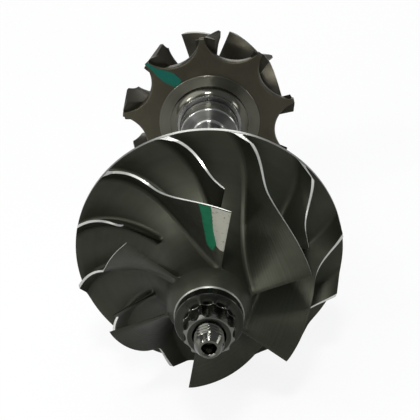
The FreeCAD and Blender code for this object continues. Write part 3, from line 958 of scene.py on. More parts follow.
def add_piece(mesh: bpy.types.Mesh, finish: bpy.types.Material | None, slot: str,
              *nodes: str) -> None:
    """Puts a piece in the scene under its mesh's name and lets it ride on the rotor.

    Args:
        mesh: Its mesh, in metres and in place.
        finish: Its material, or None where the mesh has it.
        slot: The record's material slot; not used.
        nodes: CAD nodes that it stands for.
    """
    piece = put(mesh.name, mesh)
    if finish:
        mesh.materials.append(finish)
    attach(piece, ROTOR)
    if nodes:
        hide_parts(*nodes)
    log.info("%s: %d faces", mesh.name, len(mesh.polygons))


@dataclass(frozen=True)
class PaintMark:
    """A thin mark on a surface, between two edges that are given row by row.

    rows are (across, first, last): the place across the mark and where it starts and ends there.
    straight keeps its first edge even, where it follows the edge of what it lies on, and the
    columns are closer there.
    """

    name: str
    rows: tuple[tuple[float, float, float], ...]
    surface: Surface
    ragged: float = 0.02
    lift: float = 0.03
    steps: int = 90
    columns: int = 36
    crowding: float = 1.7
    straight: bool = False

    def waver(self, way: np.ndarray, waves: float, change: float, drift: float,
              start: float = 0.0) -> np.ndarray:
        """How an edge strays, as a share of the mark's width.

        Args:
            way: Places along the edge, from 0 to 1.
            waves: How fast it swings.
            change: How much that varies.
            drift: How fast it varies.
            start: Where the variation starts.

        Returns:
            The share at each place.
        """
        return self.ragged * np.sin(way * waves + change * np.sin(way * drift + start))

    def make(self, finish: bpy.types.Material, slot: str) -> None:
        """Builds the mark as a thin closed skin.

        Args:
            finish: Its material.
            slot: The record's material slot of what carries it.
        """
        known = np.array(self.rows)
        across = np.linspace(known[0, 0], known[-1, 0], self.steps)
        known = known[np.argsort(known[:, 0])]
        first, last = (np.interp(across, known[:, 0], known[:, k]) for k in (1, 2))
        way, wide = np.linspace(0, 1, self.steps), last - first
        if not self.straight:
            first = first + wide * self.waver(way, waves=37, change=2, drift=13)
        last = last + wide * self.waver(way, waves=29, change=3, drift=17, start=1)
        share = np.linspace(0, 1, self.columns) ** self.crowding
        along = first[:, None] + (last - first)[:, None] * share
        grid = np.repeat(across[:, None], self.columns, axis=1)
        outer, inner = (self.surface(along, grid, lift) for lift in (self.lift, -self.lift))
        shell = Shell()
        index = shell.add_points(np.concatenate([outer, inner[:, ::-1]], axis=1))
        shell.skin(index, close_columns=True)
        for row in (index[0], index[-1]):
            shell.skin(np.stack([row, row[::-1]])[:, :self.columns])
        add_piece(shell.mesh(self.name), finish, slot)


class BladeSide:
    """The side of a blade that faces the nose, as a surface over (station, span)."""

    def __init__(self, blade: Blade, reach: float) -> None:
        """Takes points of the blade, closest at its leading edge.

        Args:
            blade: The blade.
            reach: Last station that is needed.
        """
        fine, coarse = np.linspace(0, 0.03, 16), np.linspace(0.035, reach, 40)
        self.stations = np.concatenate([fine, coarse])
        self.spans = np.linspace(0, 1, 61)
        self.points = blade.sheets(self.stations, self.spans)[0]

    @staticmethod
    def cell(known: np.ndarray, wanted: np.ndarray) -> tuple[np.ndarray, np.ndarray]:
        """Finds values in a growing row.

        Args:
            known: The row.
            wanted: The values.

        Returns:
            For each value the place before it, and how far it is on from there as a share.
        """
        place = np.clip(np.searchsorted(known, wanted) - 1, 0, len(known) - 2)
        return place, ((wanted - known[place]) / (known[place + 1] - known[place]))[..., None]

    def at(self, along: np.ndarray, across: np.ndarray, lift: float) -> np.ndarray:
        """Points on the side or above it.

        Args:
            along: Their stations.
            across: Their spans.
            lift: Height above the side.

        Returns:
            The points.
        """
        (i, a), (j, b) = self.cell(self.stations, along), self.cell(self.spans, across)
        here, on, up, far = (self.points[j + n, i + m] for n, m in ((0, 0), (0, 1), (1, 0), (1, 1)))
        point = (here * (1 - a) + on * a) * (1 - b) + (up * (1 - a) + far * a) * b
        normal = np.cross(on - here, up - here)
        normal /= np.linalg.norm(normal, axis=2, keepdims=True) + TINY
        return point - normal * np.where(normal[..., 1:2] < 0, -1, 1) * lift


@dataclass
class Compressor:
    """The compressor wheel: hub, six full blades and six splitters.

    Depths run from the back face towards the nose. The back face falls from its seat to the rim
    by back_step, back_foot and back_bend, which are (radius, depth) from the seat's edge, and
    rim_edges are the rim's eased edges behind and in front. The blades' wrap grows along the wheel
    by early and late, and their feet lead or trail by a lean.
    """

    back: float = -41.2
    radius: float = 25.0
    rim: float = 1.0
    rim_edges: Corner = (0.08, 0.06)
    hub_depth: float = 5.0
    hub_radius: float = 7.5
    back_step: Corner = (0.35, 1.0)
    back_foot: Corner = (1.0, 2.0)
    back_bend: Corner = (2.9, 4.6)
    cone_radius: float = 17.5
    height: float = 18.6
    hub_inlet: float = 7.4
    inlet: float = 18.4
    inlet_drop: float = 0.2
    nose_length: float = 3.7
    nose_radius: float = 6.0
    nose_edge: float = 0.25
    exit_width: float = 3.2
    exit_corner: float = 5.874
    bore: float = 2.612
    count: int = 6
    wrap: float = 54.3
    early: float = 0.81
    late: float = 0.7
    first_angle: float = 74.5
    inlet_lean: float = -3.2
    exit_lean: float = 6.2
    splitter_start: float = 0.4
    form: BladeForm = BladeForm(root=1.0, tip=0.4, fillet=0.75, small_edge=0.9, big_edge=0.0,
                                small_share=0.66)
    rim_shine: float = 0.45
    nose_shine: float = 0.35
    hub_steps: int = 288
    back_steps: int = 12
    flow_steps: int = 48
    full_steps: int = 84
    splitter_steps: int = 56
    blade_rows: int = 22

    @property
    def front(self) -> float:
        """Depth of the rim's front edge."""
        return self.hub_depth + self.rim

    @property
    def nose(self) -> float:
        """Depth of the nose's end."""
        return self.hub_depth + self.height + self.nose_length

    @property
    def curve(self) -> Meridian:
        """The wheel in half section.

        Returns:
            Its hub and shroud lines, by depth.
        """
        top = self.hub_depth + self.height
        return Meridian(self.radius, self.front, self.front + self.exit_width,
                        (self.hub_inlet, top), (self.inlet, top - self.inlet_drop),
                        self.exit_corner)

    def angles(self, turn: float, station: float) -> tuple[float, float]:
        """Foot and tip angle of a blade.

        Args:
            turn: Degrees that it is turned from the first full blade.
            station: Place along the wheel.

        Returns:
            Both angles.
        """
        rest = 1 - station
        share = (3 * rest * rest * station * self.early
                 + 3 * rest * station * station * self.late + station ** 3)
        tip = self.first_angle + self.wrap * share + turn
        return tip + self.inlet_lean + station * (self.exit_lean - self.inlet_lean), tip

    def blade(self, turn: float, start: float = 0.0) -> Blade:
        """One blade.

        Args:
            turn: Degrees that it is turned from the first full blade.
            start: Station of its leading edge.

        Returns:
            The blade.
        """
        return Blade(self.curve, partial(self.angles, turn), self.form, self.back, -1, start)

    def section(self) -> list[Corner]:
        """Half section of the hub: bore, back face, rim, flow face and nose.

        Returns:
            Its points.
        """
        step, foot, middle = ((self.hub_radius + radius, depth) for radius, depth in (
            self.back_step, self.back_foot, self.back_bend))
        outline = [(self.bore, 0.0), (self.hub_radius, 0.0), step]
        outline += bend(Vector(foot), Vector(middle), Vector((self.cone_radius, self.hub_depth)),
                        self.back_steps)
        outline += [(self.radius - self.rim_edges[0], self.hub_depth),
                    (self.radius, self.hub_depth + self.rim_edges[0]),
                    (self.radius, self.front - self.rim_edges[1])]
        outline += [self.curve.hub(1 - k / self.flow_steps) for k in range(1, self.flow_steps + 1)]
        outline += [(self.nose_radius, self.nose - self.nose_edge),
                    (self.nose_radius - self.nose_edge, self.nose), (self.bore, self.nose)]
        return [(radius, self.back - depth) for radius, depth in outline]

    def shine(self, middle: Corner) -> float:
        """How bright the hub is, which is rubbed on its rim and on the nose's edge.

        Args:
            middle: Middle of an edge of the section.

        Returns:
            The mask of that edge.
        """
        radius, depth = middle[0], self.back - middle[1]
        across, slack, last = 0.12, 0.05, 0.2
        if (radius > self.radius - across
                and self.hub_depth - slack < depth < self.front + slack):
            return self.rim_shine
        on_edge = radius > self.nose_radius - self.nose_edge and depth > self.nose - last
        return self.nose_shine if on_edge else 0.0

    def make(self, finishes: Materials, copies: CopiesAround) -> None:
        """Builds the wheel's pieces.

        Args:
            finishes: Materials by name.
            copies: The tree that repeats blades.
        """
        hub = lathe(self.section(), self.hub_steps, self.shine).mesh("compressor_hub")
        add_piece(hub, finishes["hub"], "wheel_aluminium", "compressor_wheel")
        for name, turn, start, steps in (
                ("compressor_full_blades", 0.0, 0.0, self.full_steps),
                ("compressor_splitters", -180 / self.count, self.splitter_start,
                 self.splitter_steps)):
            one = self.blade(turn, start).shell(steps, self.blade_rows).mesh(name + "_one")
            blades = copies.make(name, one, self.count, finishes["milled"])
            add_piece(blades, None, "wheel_aluminium", "compressor_wheel")

    def make_marks(self, finishes: Materials) -> None:
        """Builds the balancer's green mark and the rubbed patch beside it, on the first blade.

        Args:
            finishes: Materials by name.
        """
        side = BladeSide(self.blade(0.0), 0.2).at
        green = ((0.235, 0.056, 0.075), (0.27, 0.050, 0.108), (0.38, 0.039, 0.116),
                 (0.56, 0.061, 0.124), (0.80, 0.071, 0.133), (0.985, 0.080, 0.143))
        bare = ((0.316, 0.0, 0.010), (0.35, 0.0, 0.037), (0.40, 0.0, 0.041),
                (0.56, 0.0, 0.060), (0.80, 0.0, 0.070), (0.985, 0.0, 0.079))
        for mark, finish in ((PaintMark("compressor_paint_mark", green, side), "green"),
                             (PaintMark("compressor_rubbed_mark", bare, side, straight=True),
                              "bare")):
            mark.make(finishes[finish], "wheel_aluminium")


@dataclass
class Turbine:
    """The turbine wheel: scalloped disc with hub and hexagon nose, and nine blades.

    Heights run from the weld face towards the nose. back_fullness is the radius of the disc's back
    as a share of a quarter circle's, and overlap is how deep in the collar the hexagon starts.
    """

    weld: float = 12.8
    weld_radius: float = 7.6
    weld_flare: float = 1.8
    setback: float = 0.9
    land_radius: float = 12.0
    land_step: float = 0.35
    land_edge: float = 0.06
    dish: float = 0.45
    dish_reach: float = 0.4
    tip_thickness: float = 1.1
    radius: float = 20.85
    outlet_radius: float = 17.5
    hub_radius: float = 5.6
    depth: float = 17.3
    inlet_height: float = 6.25
    outlet_corner: float = 2.4455
    count: int = 9
    angle: float = 171.0
    rake: float = 11.5
    rake_depth: float = 7.8
    sweep: float = 16.4
    sweep_growth: float = 1.8
    lean: float = 5.0
    valley: float = 15.9
    scallop: float = 7.6
    edge: float = 0.34
    back_fullness: float = 1.02
    nose_length: float = 4.6
    taper: float = 0.5
    collar_edge: float = 0.1
    hex_length: float = 3.0
    hex_flats: float = 8.0
    hex_corner: float = 1.13
    hole_radius: float = 1.6
    overlap: float = 0.3
    form: BladeForm = BladeForm(root=2.0, tip=0.95, fillet=0.9, small_edge=0.35, big_edge=0.35)
    flare_steps: int = 12
    face_rings: int = 12
    edge_rings: int = 9
    back_rings: int = 25
    nose_steps: int = 144
    blade_steps: int = 60
    blade_rows: int = 20

    @property
    def tip_front(self) -> float:
        """Height of the disc's face at the blade tips."""
        return self.setback + self.land_step + self.dish

    @property
    def tip_back(self) -> float:
        """Height of the disc's back at the blade tips."""
        return self.tip_front + self.tip_thickness

    @property
    def outlet(self) -> float:
        """Height of the outlet edge."""
        return self.tip_front + self.depth

    @property
    def curve(self) -> Meridian:
        """The wheel in half section.

        Returns:
            Its hub and shroud lines, by height.
        """
        return Meridian(self.radius, self.tip_back, self.tip_front + self.inlet_height,
                        (self.hub_radius, self.outlet), (self.outlet_radius, self.outlet),
                        self.outlet_corner)

    def swing(self, height: float) -> tuple[float, float]:
        """How far the blades lean round at a height.

        Args:
            height: The height.

        Returns:
            The shares of the outlet sweep and of the rake.
        """
        turn = self.tip_front + self.rake_depth
        if height < turn:
            ratio = (height - self.tip_front) / self.rake_depth
            return 0.0, math.sin(math.radians(90 * max(ratio, 0.0)))
        late = ((height - turn) / (self.outlet - turn)) ** self.sweep_growth
        return late, 1 - late

    def angles(self, station: float) -> tuple[float, float]:
        """Foot and tip angle of the first blade.

        Args:
            station: Place along the wheel.

        Returns:
            Both angles.
        """
        found = []
        for point, lean in ((self.curve.hub(station), self.lean), (self.curve.shroud(station), 0)):
            late, rake = self.swing(point[1])
            found.append(self.angle - self.rake * rake + (self.sweep + lean) * late)
        return found[0], found[1]

    def outline(self) -> tuple[np.ndarray, np.ndarray]:
        """Points around the scalloped disc.

        Returns:
            Their angles in radians and their radii.
        """
        far = self.valley + self.scallop
        half = math.acos((far ** 2 + self.radius ** 2 - self.scallop ** 2)
                         / (2 * far * self.radius))
        reach = math.atan2(self.radius * math.sin(half), self.radius * math.cos(half) - far)
        points, tip_shares = 42, np.array([0.35, 1.0, 1.65])
        turns = np.linspace(reach, 2 * math.pi - reach, points)
        x, z = far + self.scallop * np.cos(turns), self.scallop * np.sin(turns)
        pitch = 2 * math.pi / self.count
        tip = half + (pitch / 2 - half) * tip_shares
        angles = np.concatenate([np.arctan2(z, x), -tip])
        radii = np.concatenate([np.hypot(x, z), np.full(len(tip), self.radius)])
        middles = math.radians(self.angle) - pitch * (np.arange(self.count) + 0.5)
        return (middles[:, None] + angles).ravel(), np.tile(radii, self.count)

    def face_height(self, radius: np.ndarray) -> np.ndarray:
        """Height of the disc's face, which leans back slightly towards the tips.

        Args:
            radius: Radii of points on it.

        Returns:
            Their heights.
        """
        slope = self.dish / (self.radius + self.dish_reach - self.land_radius)
        return self.setback + self.land_step + (radius - self.land_radius) * slope

    def face_points(self, angle: np.ndarray, radius: np.ndarray, lift: float) -> np.ndarray:
        """Points on the disc's face or above it.

        Args:
            angle: Their angles.
            radius: Their radii.
            lift: How far they stand out.

        Returns:
            The points.
        """
        return around(np.radians(angle), radius, self.weld + self.face_height(radius) - lift)

    def back(self) -> tuple[Vector, float]:
        """The arc of the disc's back, from the blade tips to the hub.

        Returns:
            Its centre as (radius, height), and its radius.
        """
        radial, axial = self.radius - self.hub_radius, self.outlet - self.tip_back
        reach = (radial + axial) / 2 * self.back_fullness
        start, end = Vector((self.radius, self.tip_back)), Vector((self.hub_radius, self.outlet))
        chord = end - start
        side = Vector((chord.y, -chord.x)).normalized()
        return (start + end) / 2 + side * math.sqrt(reach ** 2 - chord.length ** 2 / 4), reach

    def front_rings(self) -> list[Ring]:
        """The disc's turned front: weld face, flare and land.

        Returns:
            Radius and height of its rings.
        """
        inner, edge = 3.0, 0.05
        flare = (self.weld_flare ** 2 + self.setback ** 2) / (2 * self.setback)
        rings = [(self.weld_radius - inner, 0.0), (self.weld_radius - edge, 0.0)]
        for k in range(self.flare_steps + 1):
            rest = self.weld_flare * (1 - k / self.flare_steps)
            rings.append((self.weld_radius + self.weld_flare - rest,
                          self.setback - flare + math.sqrt(flare ** 2 - rest ** 2)))
        return [*rings, (self.land_radius - self.land_edge, self.setback),
                (self.land_radius, self.setback + self.land_edge)]

    def disc(self) -> Shell:
        """The disc with its scallops, the hub behind it and the collar that carries the nose.

        Returns:
            The shell, with a mask of thirds for its cast back, its face, the land and the flare.
        """
        turns, reach = self.outline()
        rim, step = reach - self.edge, 0.02
        centre, wide = self.back()
        rings = self.front_rings()
        land_end, land_rows, edge_rows = len(rings), 3, 2
        for share in np.linspace(0, 1, self.face_rings):
            radius = self.land_radius + step + (rim - self.land_radius) * share
            rings.append((radius, self.face_height(radius)))
        low = self.face_height(rim)
        high = centre.y - np.sqrt(np.clip(wide ** 2 - (rim - centre.x) ** 2, 0, None))
        for turn in np.radians(np.linspace(15, 165, self.edge_rings)):
            rings.append((rim + self.edge * math.sin(turn),
                          low + (high - low) * (1 - math.cos(turn)) / 2))
        rings.append((rim, high))
        first, last = (np.arccos(np.clip((centre.x - radius) / wide, -1, 1))
                       for radius in (rim, self.hub_radius))
        for share in np.linspace(0, 1, self.back_rings + 1)[1:]:
            turn = first + (last - first) * share
            rings.append((centre.x - wide * np.cos(turn), centre.y - wide * np.sin(turn)))
        collar = self.outlet + self.nose_length - self.hex_length
        shoulder = self.hub_radius - self.taper
        rings += [(shoulder, collar - self.collar_edge), (shoulder - self.collar_edge, collar)]
        mask = np.zeros(len(rings))
        for end, level in ((land_end + self.face_rings + edge_rows, 1 / 3), (land_end, 2 / 3),
                           (land_end - land_rows, 1.0)):
            mask[:end] = level
        return revolve(turns, [(radius, self.weld + height) for radius, height in rings], mask,
                       (self.weld, self.weld + collar))

    def nose(self) -> Shell:
        """The hexagon that held the casting for welding and balancing, with its centre hole.

        Returns:
            The shell.
        """
        turns, flats, hole = full_turn(self.nose_steps), self.hex_flats / 2, self.hole_radius
        side = flats / np.cos(turns % (math.pi / 3) - math.pi / 6)
        side = np.minimum(side, flats * self.hex_corner)
        top = self.weld + self.outlet + self.nose_length
        base = top - self.hex_length - self.overlap
        return revolve(turns, [
            (side, base), (side, top - 0.35), (side - 0.05, top - 0.15),
            (np.minimum(side - 0.2, flats + 0.05), top), (hole + 0.25, top), (hole, top - 0.25),
            (hole, top - 3.0), (0.2, top - 3.9)], poles=(base, top - 4.0))

    def make(self, finishes: Materials, copies: CopiesAround) -> None:
        """Builds the wheel's pieces.

        Args:
            finishes: Materials by name.
            copies: The tree that repeats blades.
        """
        disc = self.disc()
        mesh = disc.mesh("turbine_disc")
        disc.share_out(mesh, [finishes[name] for name in ("cast", "face", "land", "flare")])
        add_piece(mesh, None, "nickel_casting", "turbine_wheel")
        add_piece(self.nose().mesh("turbine_nose"), finishes["cast"], "nickel_casting",
                  "turbine_wheel")
        blade = Blade(self.curve, self.angles, self.form, self.weld, 1)
        one = blade.shell(self.blade_steps, self.blade_rows).mesh("turbine_blades_one")
        blades = copies.make("turbine_blades", one, self.count, finishes["cast"])
        add_piece(blades, None, "nickel_casting", "turbine_wheel")

    def make_marks(self, finishes: Materials) -> None:
        """Builds the green mark that runs from a blade's tip to the machined land.

        Args:
            finishes: Materials by name.
        """
        rows = ((12.1, 119.0, 128.2), (13.2, 117.6, 129.8), (14.3, 119.3, 131.7),
                (15.6, 121.6, 132.1), (17.2, 125.6, 132.2), (18.4, 128.6, 131.9),
                (20.8, 130.2, 131.9))
        mark = PaintMark("turbine_paint_mark", rows, self.face_points, ragged=0.03)
        mark.make(finishes["faded"], "nickel_casting")


@dataclass
class Shaft:
    """The turned shaft with its boss, journals, stub and thread.

    end, nose, shoulder, far_journal, boss and weld are places along the axis. The fillet and the
    groove count from the boss, stub_end and thread_start from the nose, and thread_end, fade_end
    and hole_depth from the shaft's end.
    """

    end: float = -77.9
    nose: float = -68.5
    shoulder: float = -25.5
    stub_radius: float = 2.6
    stub_end: float = 2.8
    journal_radius: float = 4.0
    journal_half: float = 4.25
    far_journal: float = -15.75
    waist_radius: float = 3.6
    ease: float = 0.3
    fillet: tuple[Corner, ...] = (
        (3.6, -0.9), (3.66, -0.58), (3.86, -0.27), (4.16, -0.06), (4.5, 0.0))
    boss: float = 6.1
    boss_radius: float = 6.85
    round: float = 0.6
    groove: float = 4.8
    groove_end: float = 6.0
    groove_radius: float = 5.65
    weld: float = 12.8
    weld_radius: float = 7.6
    softness: float = 0.07
    thread_radius: float = 2.5
    thread_start: float = 2.6
    pitch: float = 0.8
    thread_depth: float = 0.43
    thread_end: float = 1.2
    thread_step: float = 0.04
    crest: float = 0.175
    flank: float = 2.7
    fade_end: float = 1.0
    fade_length: float = 0.7
    least_fade: float = 0.15
    hole_radius: float = 1.15
    hole_depth: float = 3.9
    steps: int = 160
    thread_steps: int = 96

    def section(self) -> list[Corner]:
        """Half section from the thread's root to the weld.

        Returns:
            Its points.
        """
        stub, journal, waist = self.stub_radius, self.journal_radius, self.waist_radius
        ease, start, half, boss = self.ease, self.nose + self.stub_end, self.journal_half, self.boss
        corner = arc((self.boss_radius - self.round, self.round), self.round, -90, 0, 3)
        groove = [(self.boss_radius, self.groove), (self.groove_radius, self.groove),
                  (self.groove_radius, self.groove_end), (self.weld_radius, self.groove_end)]
        return soften([
            (0.0, start), (stub, start), (stub, self.shoulder), (journal - ease, self.shoulder),
            (journal, self.shoulder + ease), (journal, self.far_journal),
            (waist, self.far_journal + ease), (waist, -half - ease), (journal, -half),
            (journal, half), (waist, half + ease),
            *((radius, boss + y) for radius, y in (*self.fillet, *corner, *groove)),
            (self.weld_radius, self.weld), (0.0, self.weld)], self.softness)

    def faced(self, middle: Corner) -> float:
        """Which part of the section is the boss's face.

        Args:
            middle: Middle of an edge of the section.

        Returns:
            1 on that face, 0 elsewhere.
        """
        before, after, inner = 0.2, 0.1, 4.2
        return float(-before < middle[1] - self.boss < after and middle[0] > inner)

    def thread(self) -> Shell:
        """The rolled thread, its tapered end and the centre hole.

        Returns:
            The shell.
        """
        turns, end, hole = full_turn(self.thread_steps), self.end, self.hole_radius
        top, bottom = self.nose + self.thread_start, end + self.hole_depth
        rings: list[Ring] = []
        for y in np.arange(top, end + self.thread_end, -self.thread_step):
            phase = (y / self.pitch - turns / (2 * math.pi)) % 1.0
            tooth = np.clip(np.abs(phase - 0.5) * self.flank - self.crest, 0, 1)
            fade = (y - end - self.fade_end) / self.fade_length
            fade = min(max(fade, self.least_fade), 1.0)
            rings.append((self.thread_radius - self.thread_depth * tooth * fade, y))
        tip = [(2.43, end + 1.1), (1.78, end + 0.03), (1.4, end), (hole, end + 0.25),
               (hole, end + 3.0), (0.02, bottom)]
        return revolve(turns, rings + soften(tip, 0.06)[:-1], poles=(top, bottom))

    def make(self, finishes: Materials) -> None:
        """Builds the shaft's pieces.

        Args:
            finishes: Materials by name.
        """
        turned = lathe(self.section(), self.steps, self.faced)
        body = turned.mesh("shaft_body")
        turned.share_out(body, [finishes[name] for name in ("ground", "faced")])
        add_piece(body, None, "ground_steel", "rotor_shaft")
        add_piece(self.thread().mesh("shaft_thread_end", sharp=50), finishes["thread"],
                  "ground_steel", "rotor_shaft")


@dataclass
class ThrustStack:
    """The thrust collar and the spacer sleeve on the shaft's stub.

    Their outlines are (radius, depth), from the face that is nearer the turbine.
    """

    shoulder: float = -25.5
    bore: float = 2.612
    softness: float = 0.1
    steps: int = 144
    collar: tuple[Corner, ...] = (
        (6.85, 0.0), (7.2, 0.35), (7.2, 1.3), (4.7, 1.3), (4.7, 3.7), (7.2, 3.7), (7.2, 4.65),
        (6.85, 5.0))
    sleeve: tuple[Corner, ...] = (
        (5.0, 0.0), (5.0, 1.55), (7.6, 2.2), (7.6, 3.7), (4.7, 3.7), (4.7, 5.2), (5.9, 5.2),
        (5.9, 7.4), (4.8, 7.4), (4.8, 8.8), (5.9, 8.8), (5.9, 10.7))

    def make(self, finishes: Materials) -> None:
        """Builds both pieces.

        Args:
            finishes: Materials by name.
        """
        start = self.shoulder
        for name, node, outline in (("collar_turned", "thrust_collar", self.collar),
                                    ("sleeve_turned", "oil_flinger_sleeve", self.sleeve)):
            length = outline[-1][1]
            section = [(radius, start - depth) for radius, depth in (
                (self.bore, 0.0), *outline, (self.bore, length))]
            mesh = lathe(soften(section, self.softness), self.steps).mesh(name)
            add_piece(mesh, finishes["hardened"], "hardened_steel", node)
            start -= length


@dataclass
class Nut:
    """The flanged nut with twelve points.

    Heights run from its seat towards the nose.
    """

    seat: float = -68.5
    bore: float = 2.512
    flange: float = 5.85
    flange_height: float = 1.8
    flange_edge: float = 0.08
    cone: float = 0.65
    cone_share: float = 0.3
    point: float = 4.35
    notch: float = 1.25
    notch_depth: float = 0.5
    height: float = 5.8
    chamfer: float = 0.65
    chamfer_drop: float = 0.4
    ease: float = 0.06
    recess_radius: float = 2.8
    recess_depth: float = 0.9
    lobes: int = 12
    lobe_steps: int = 30
    sides: int = 4

    def outline(self, turns: np.ndarray) -> np.ndarray:
        """The twelve-point body, with its corners eased.

        Args:
            turns: Angles around it, in radians.

        Returns:
            Its radius at each.
        """
        far = self.point - self.notch_depth + self.notch
        pitch = 2 * math.pi / self.lobes
        off = (turns + pitch / 2) % pitch - pitch / 2
        inside = self.notch ** 2 - (far * np.sin(off)) ** 2
        hollow = far * np.cos(off) - np.sqrt(np.clip(inside, 0, None))
        radius = np.where(inside > 0, np.minimum(hollow, self.point), self.point)
        kernel = np.array([1, 2, 3, 2, 1]) / 9
        padded = np.concatenate([radius[-2:], radius, radius[:2]])
        return np.convolve(padded, kernel, "valid")

    def wall(self, turns: np.ndarray) -> list[tuple[np.ndarray | float, ...]]:
        """The nut's rings, from its bore around its outside and back.

        Args:
            turns: Angles around it, in radians.

        Returns:
            Radius and height of each ring, and its mask from there to the next one: turned bright
            metal on the flange's edge, the crown's chamfer and the recess's edge, a painted
            highlight along the foot, and painted light on the side walls that offsets the shade in
            the notches.
        """
        body, flange, edge, ease = self.outline(turns), self.flange, self.flange_edge, self.ease
        cone_top = self.flange_height + self.cone
        floor = cone_top - self.cone * self.cone_share
        floor_radius = self.point + (flange - self.point) * self.cone_share
        lift = (body - (self.point - self.notch_depth)) / self.notch_depth
        foot = floor + (cone_top - floor) * lift ** 2
        crown = (self.height - self.chamfer_drop
                 + (self.point - body) * self.chamfer_drop / self.chamfer)
        rim, top, recess = self.point - self.chamfer, self.height, self.recess_radius
        deep, side, side_top = top - self.recess_depth, foot + 0.2, crown - 0.04
        return [
            (self.bore, 0.0, 0.0), (flange - edge, 0.0, 0.0), (flange, edge, 0.35),
            (flange, self.flange_height - 0.1, 0.25),
            (flange - edge, self.flange_height + 0.03, 0.0),
            (floor_radius + 0.1, floor - 0.05, 0.0),
            ((body + floor_radius) / 2, (floor + foot) / 2, 0.0),
            # The foot's fillet is lighter all round: a painted highlight.
            (body + 0.10, foot, 0.6), (body + 0.02, foot + 0.07, 0.6),
            # The side walls are lighter: painted light against the shade in the notches.
            *((body, side + (side_top - side) * k / self.sides, 0.35) for k in range(self.sides)),
            (body, side_top, 0.0), (body * 0.95 + rim * 0.05, crown + 0.02, 1.0),
            (rim + ease, top - 0.04, 1.0), (rim - ease, top, 0.0),
            (recess + ease, top, 1.0), (recess, top - ease, 0.0), (recess, deep, 0.0),
            (self.bore, deep - 0.15, 0.0)]

    def make(self, finishes: Materials) -> None:
        """Builds the nut.

        Args:
            finishes: Materials by name.
        """
        turns = full_turn(self.lobes * self.lobe_steps)
        wall = self.wall(turns)
        shell = revolve(turns, [(radius, self.seat - height) for radius, height, _ in wall],
                        np.array([mask_and_painted_light for _, _, mask_and_painted_light in wall]))
        add_piece(shell.mesh("nut_twelve_point", sharp=28), finishes["nut"], "nut_steel",
                  "shaft_nut")


@dataclass
class SealRings:
    """The two seal rings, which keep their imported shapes."""

    names: tuple[str, ...] = ("turbine_seal_ring", "compressor_seal_ring")

    def make(self, finishes: Materials) -> None:
        """Gives both rings their finish.

        Args:
            finishes: Materials by name.
        """
        for name in self.names:
            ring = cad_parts[name]
            for place in ring.material_slots:
                place.material = finishes["ring"]
            if not ring.material_slots:
                ring.data.materials.append(finishes["ring"])
            log.info("%s: packed piece with a new finish", name)


# Studio

@dataclass(frozen=True)
class Lamp:
    """A square lamp that points at the rotor."""

    name: str
    place: tuple[float, float, float]
    size: float
    level: float

    def make(self) -> None:
        """Hangs the lamp, with as much more power as it is farther away."""
        data = bpy.data.lights.new(self.name, "AREA")
        data.shape, data.size = "SQUARE", self.size * MM
        spot = Vector(self.place) * MM
        data.energy = self.level * spot.length ** 2 * math.pi
        lamp = put(self.name, data)
        lamp.location = spot
        lamp.rotation_euler = (-spot).to_track_quat("-Z", "Y").to_euler()


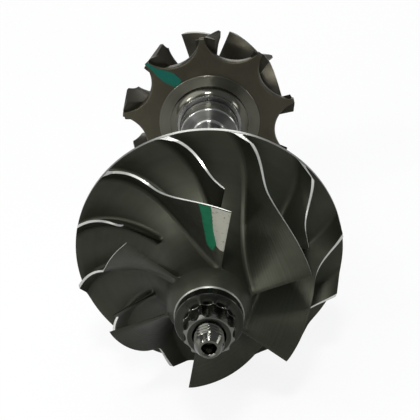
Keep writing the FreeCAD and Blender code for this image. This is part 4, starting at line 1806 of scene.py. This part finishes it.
@dataclass
class Studio:
    """Camera, lamps, floor and backdrop.

    The floor has its own light for what the camera and a mirror see: seen and mirrored are its
    shares there, and in a mirror it is dimmed as well.
    """

    eye: tuple[float, float, float] = (7.13, -213.35, 98.13)
    target: tuple[float, float, float] = (0.7391, -46.2, 8.5099)
    roll: float = -4.6007
    focal: float = 1029.5852
    image: float = 420.0
    sensor: float = 36.0
    sky: Colour = (0.9, 0.95, 1.0)
    sky_level: float = 0.32
    floor: float = -25.0
    floor_radius: float = 900.0
    bend_radius: float = 500.0
    wall: float = 120.0
    white: float = 0.86
    seen: float = 0.86
    mirrored: float = 0.34
    dimmed: float = 0.7
    lamps: tuple[Lamp, ...] = (
        Lamp("lamp_front_left", (-290, -380, 300), 520, 1.4),
        Lamp("lamp_top", (0, -250, 430), 70, 1.3),
        Lamp("lamp_left", (-310, -162, 266), 50, 0.5),
        Lamp("lamp_side", (-441, 40, 78), 240, 0.3),
        Lamp("lamp_right", (430, -125, 125), 110, 0.3),
        Lamp("lamp_back", (0, 420, 235), 300, 1.2))

    def camera(self) -> None:
        """Sets the camera at the photograph's place."""
        data = bpy.data.cameras.new("camera")
        data.sensor_width = self.sensor
        data.lens = self.focal / self.image * self.sensor
        data.clip_start, data.clip_end = 0.01, 20.0
        eye = Vector(self.eye)
        away = (eye - Vector(self.target)).normalized()
        right = Vector((0, 0, 1)).cross(away).normalized()
        up = away.cross(right)
        roll = math.radians(self.roll)
        axes = Matrix((right * math.cos(roll) + up * math.sin(roll),
                       up * math.cos(roll) - right * math.sin(roll), away)).transposed()
        camera = put("camera", data)
        camera.matrix_world = Matrix.Translation(eye * MM) @ axes.to_4x4()
        bpy.context.scene.camera = camera

    def light(self) -> None:
        """Hangs the lamps in a plain pale world."""
        for lamp in self.lamps:
            lamp.make()
        world = bpy.data.worlds.new("world")
        bpy.context.scene.world = world
        world.use_nodes = True
        back = world.node_tree.nodes["Background"]
        back.inputs[0].default_value = (*self.sky, 1)
        back.inputs[1].default_value = self.sky_level

    def paint(self) -> bpy.types.Material:
        """The floor's white.

        Returns:
            The material.
        """
        material, g, shader = new_material("studio_white")
        g.fill(shader, Base_Color=(self.white, self.white, self.white, 1), Roughness=0.9)
        path = g.node("ShaderNodeLightPath").outputs
        mirror = g.math("MAXIMUM", path["Is Glossy Ray"], path["Is Transmission Ray"])
        level = g.math("SUBTRACT", 1.0, g.times(mirror, self.dimmed))
        glow = g.node("ShaderNodeEmission", Color=(1, 1, 1, 1), Strength=level)
        share = g.plus(g.times(path["Is Camera Ray"], self.seen), g.times(mirror, self.mirrored))
        both = g.node("ShaderNodeMixShader", i0=share, i1=shader.outputs[0], i2=glow.outputs[0])
        g.fill(material.node_tree.nodes["Material Output"], Surface=both.outputs[0])
        return material

    def backdrop(self) -> None:
        """Adds the floor, which curves up into a low wall all around, white behind the object."""
        bend_height, chords = self.floor + self.bend_radius, 14
        section = arc((self.floor_radius, bend_height), self.bend_radius, 270, 360, chords)
        section.append((self.floor_radius + self.bend_radius, bend_height + self.wall))
        upright, turns = [0, 2, 1], full_turn(72)
        shell = Shell()
        index = shell.add_points(np.array(
            [around(turns, radius, z)[:, upright] for radius, z in section]))
        shell.skin(index, close_columns=True)
        shell.fan(index[0], (0.0, 0.0, self.floor))
        mesh = shell.mesh("studio_floor")
        mesh.materials.append(self.paint())
        stage = put("studio_floor", mesh)

    def make(self) -> None:
        """Sets up everything that isn't part of the object."""
        bpy.context.scene.view_settings.view_transform = "Standard"
        self.camera()
        self.light()
        self.backdrop()


def main() -> None:
    """Builds the studio and every piece."""
    logging.basicConfig(level=logging.INFO, format="%(name)s %(message)s")
    Studio().make()
    finishes, copies = Finishes().build(), CopiesAround()
    for wheel in (Compressor(), Turbine()):
        wheel.make(finishes, copies)
        wheel.make_marks(finishes)
    for group in (Shaft(), ThrustStack(), Nut(), SealRings()):
        group.make(finishes)
    bpy.context.view_layer.update()


if __name__ == "__main__":
    main()
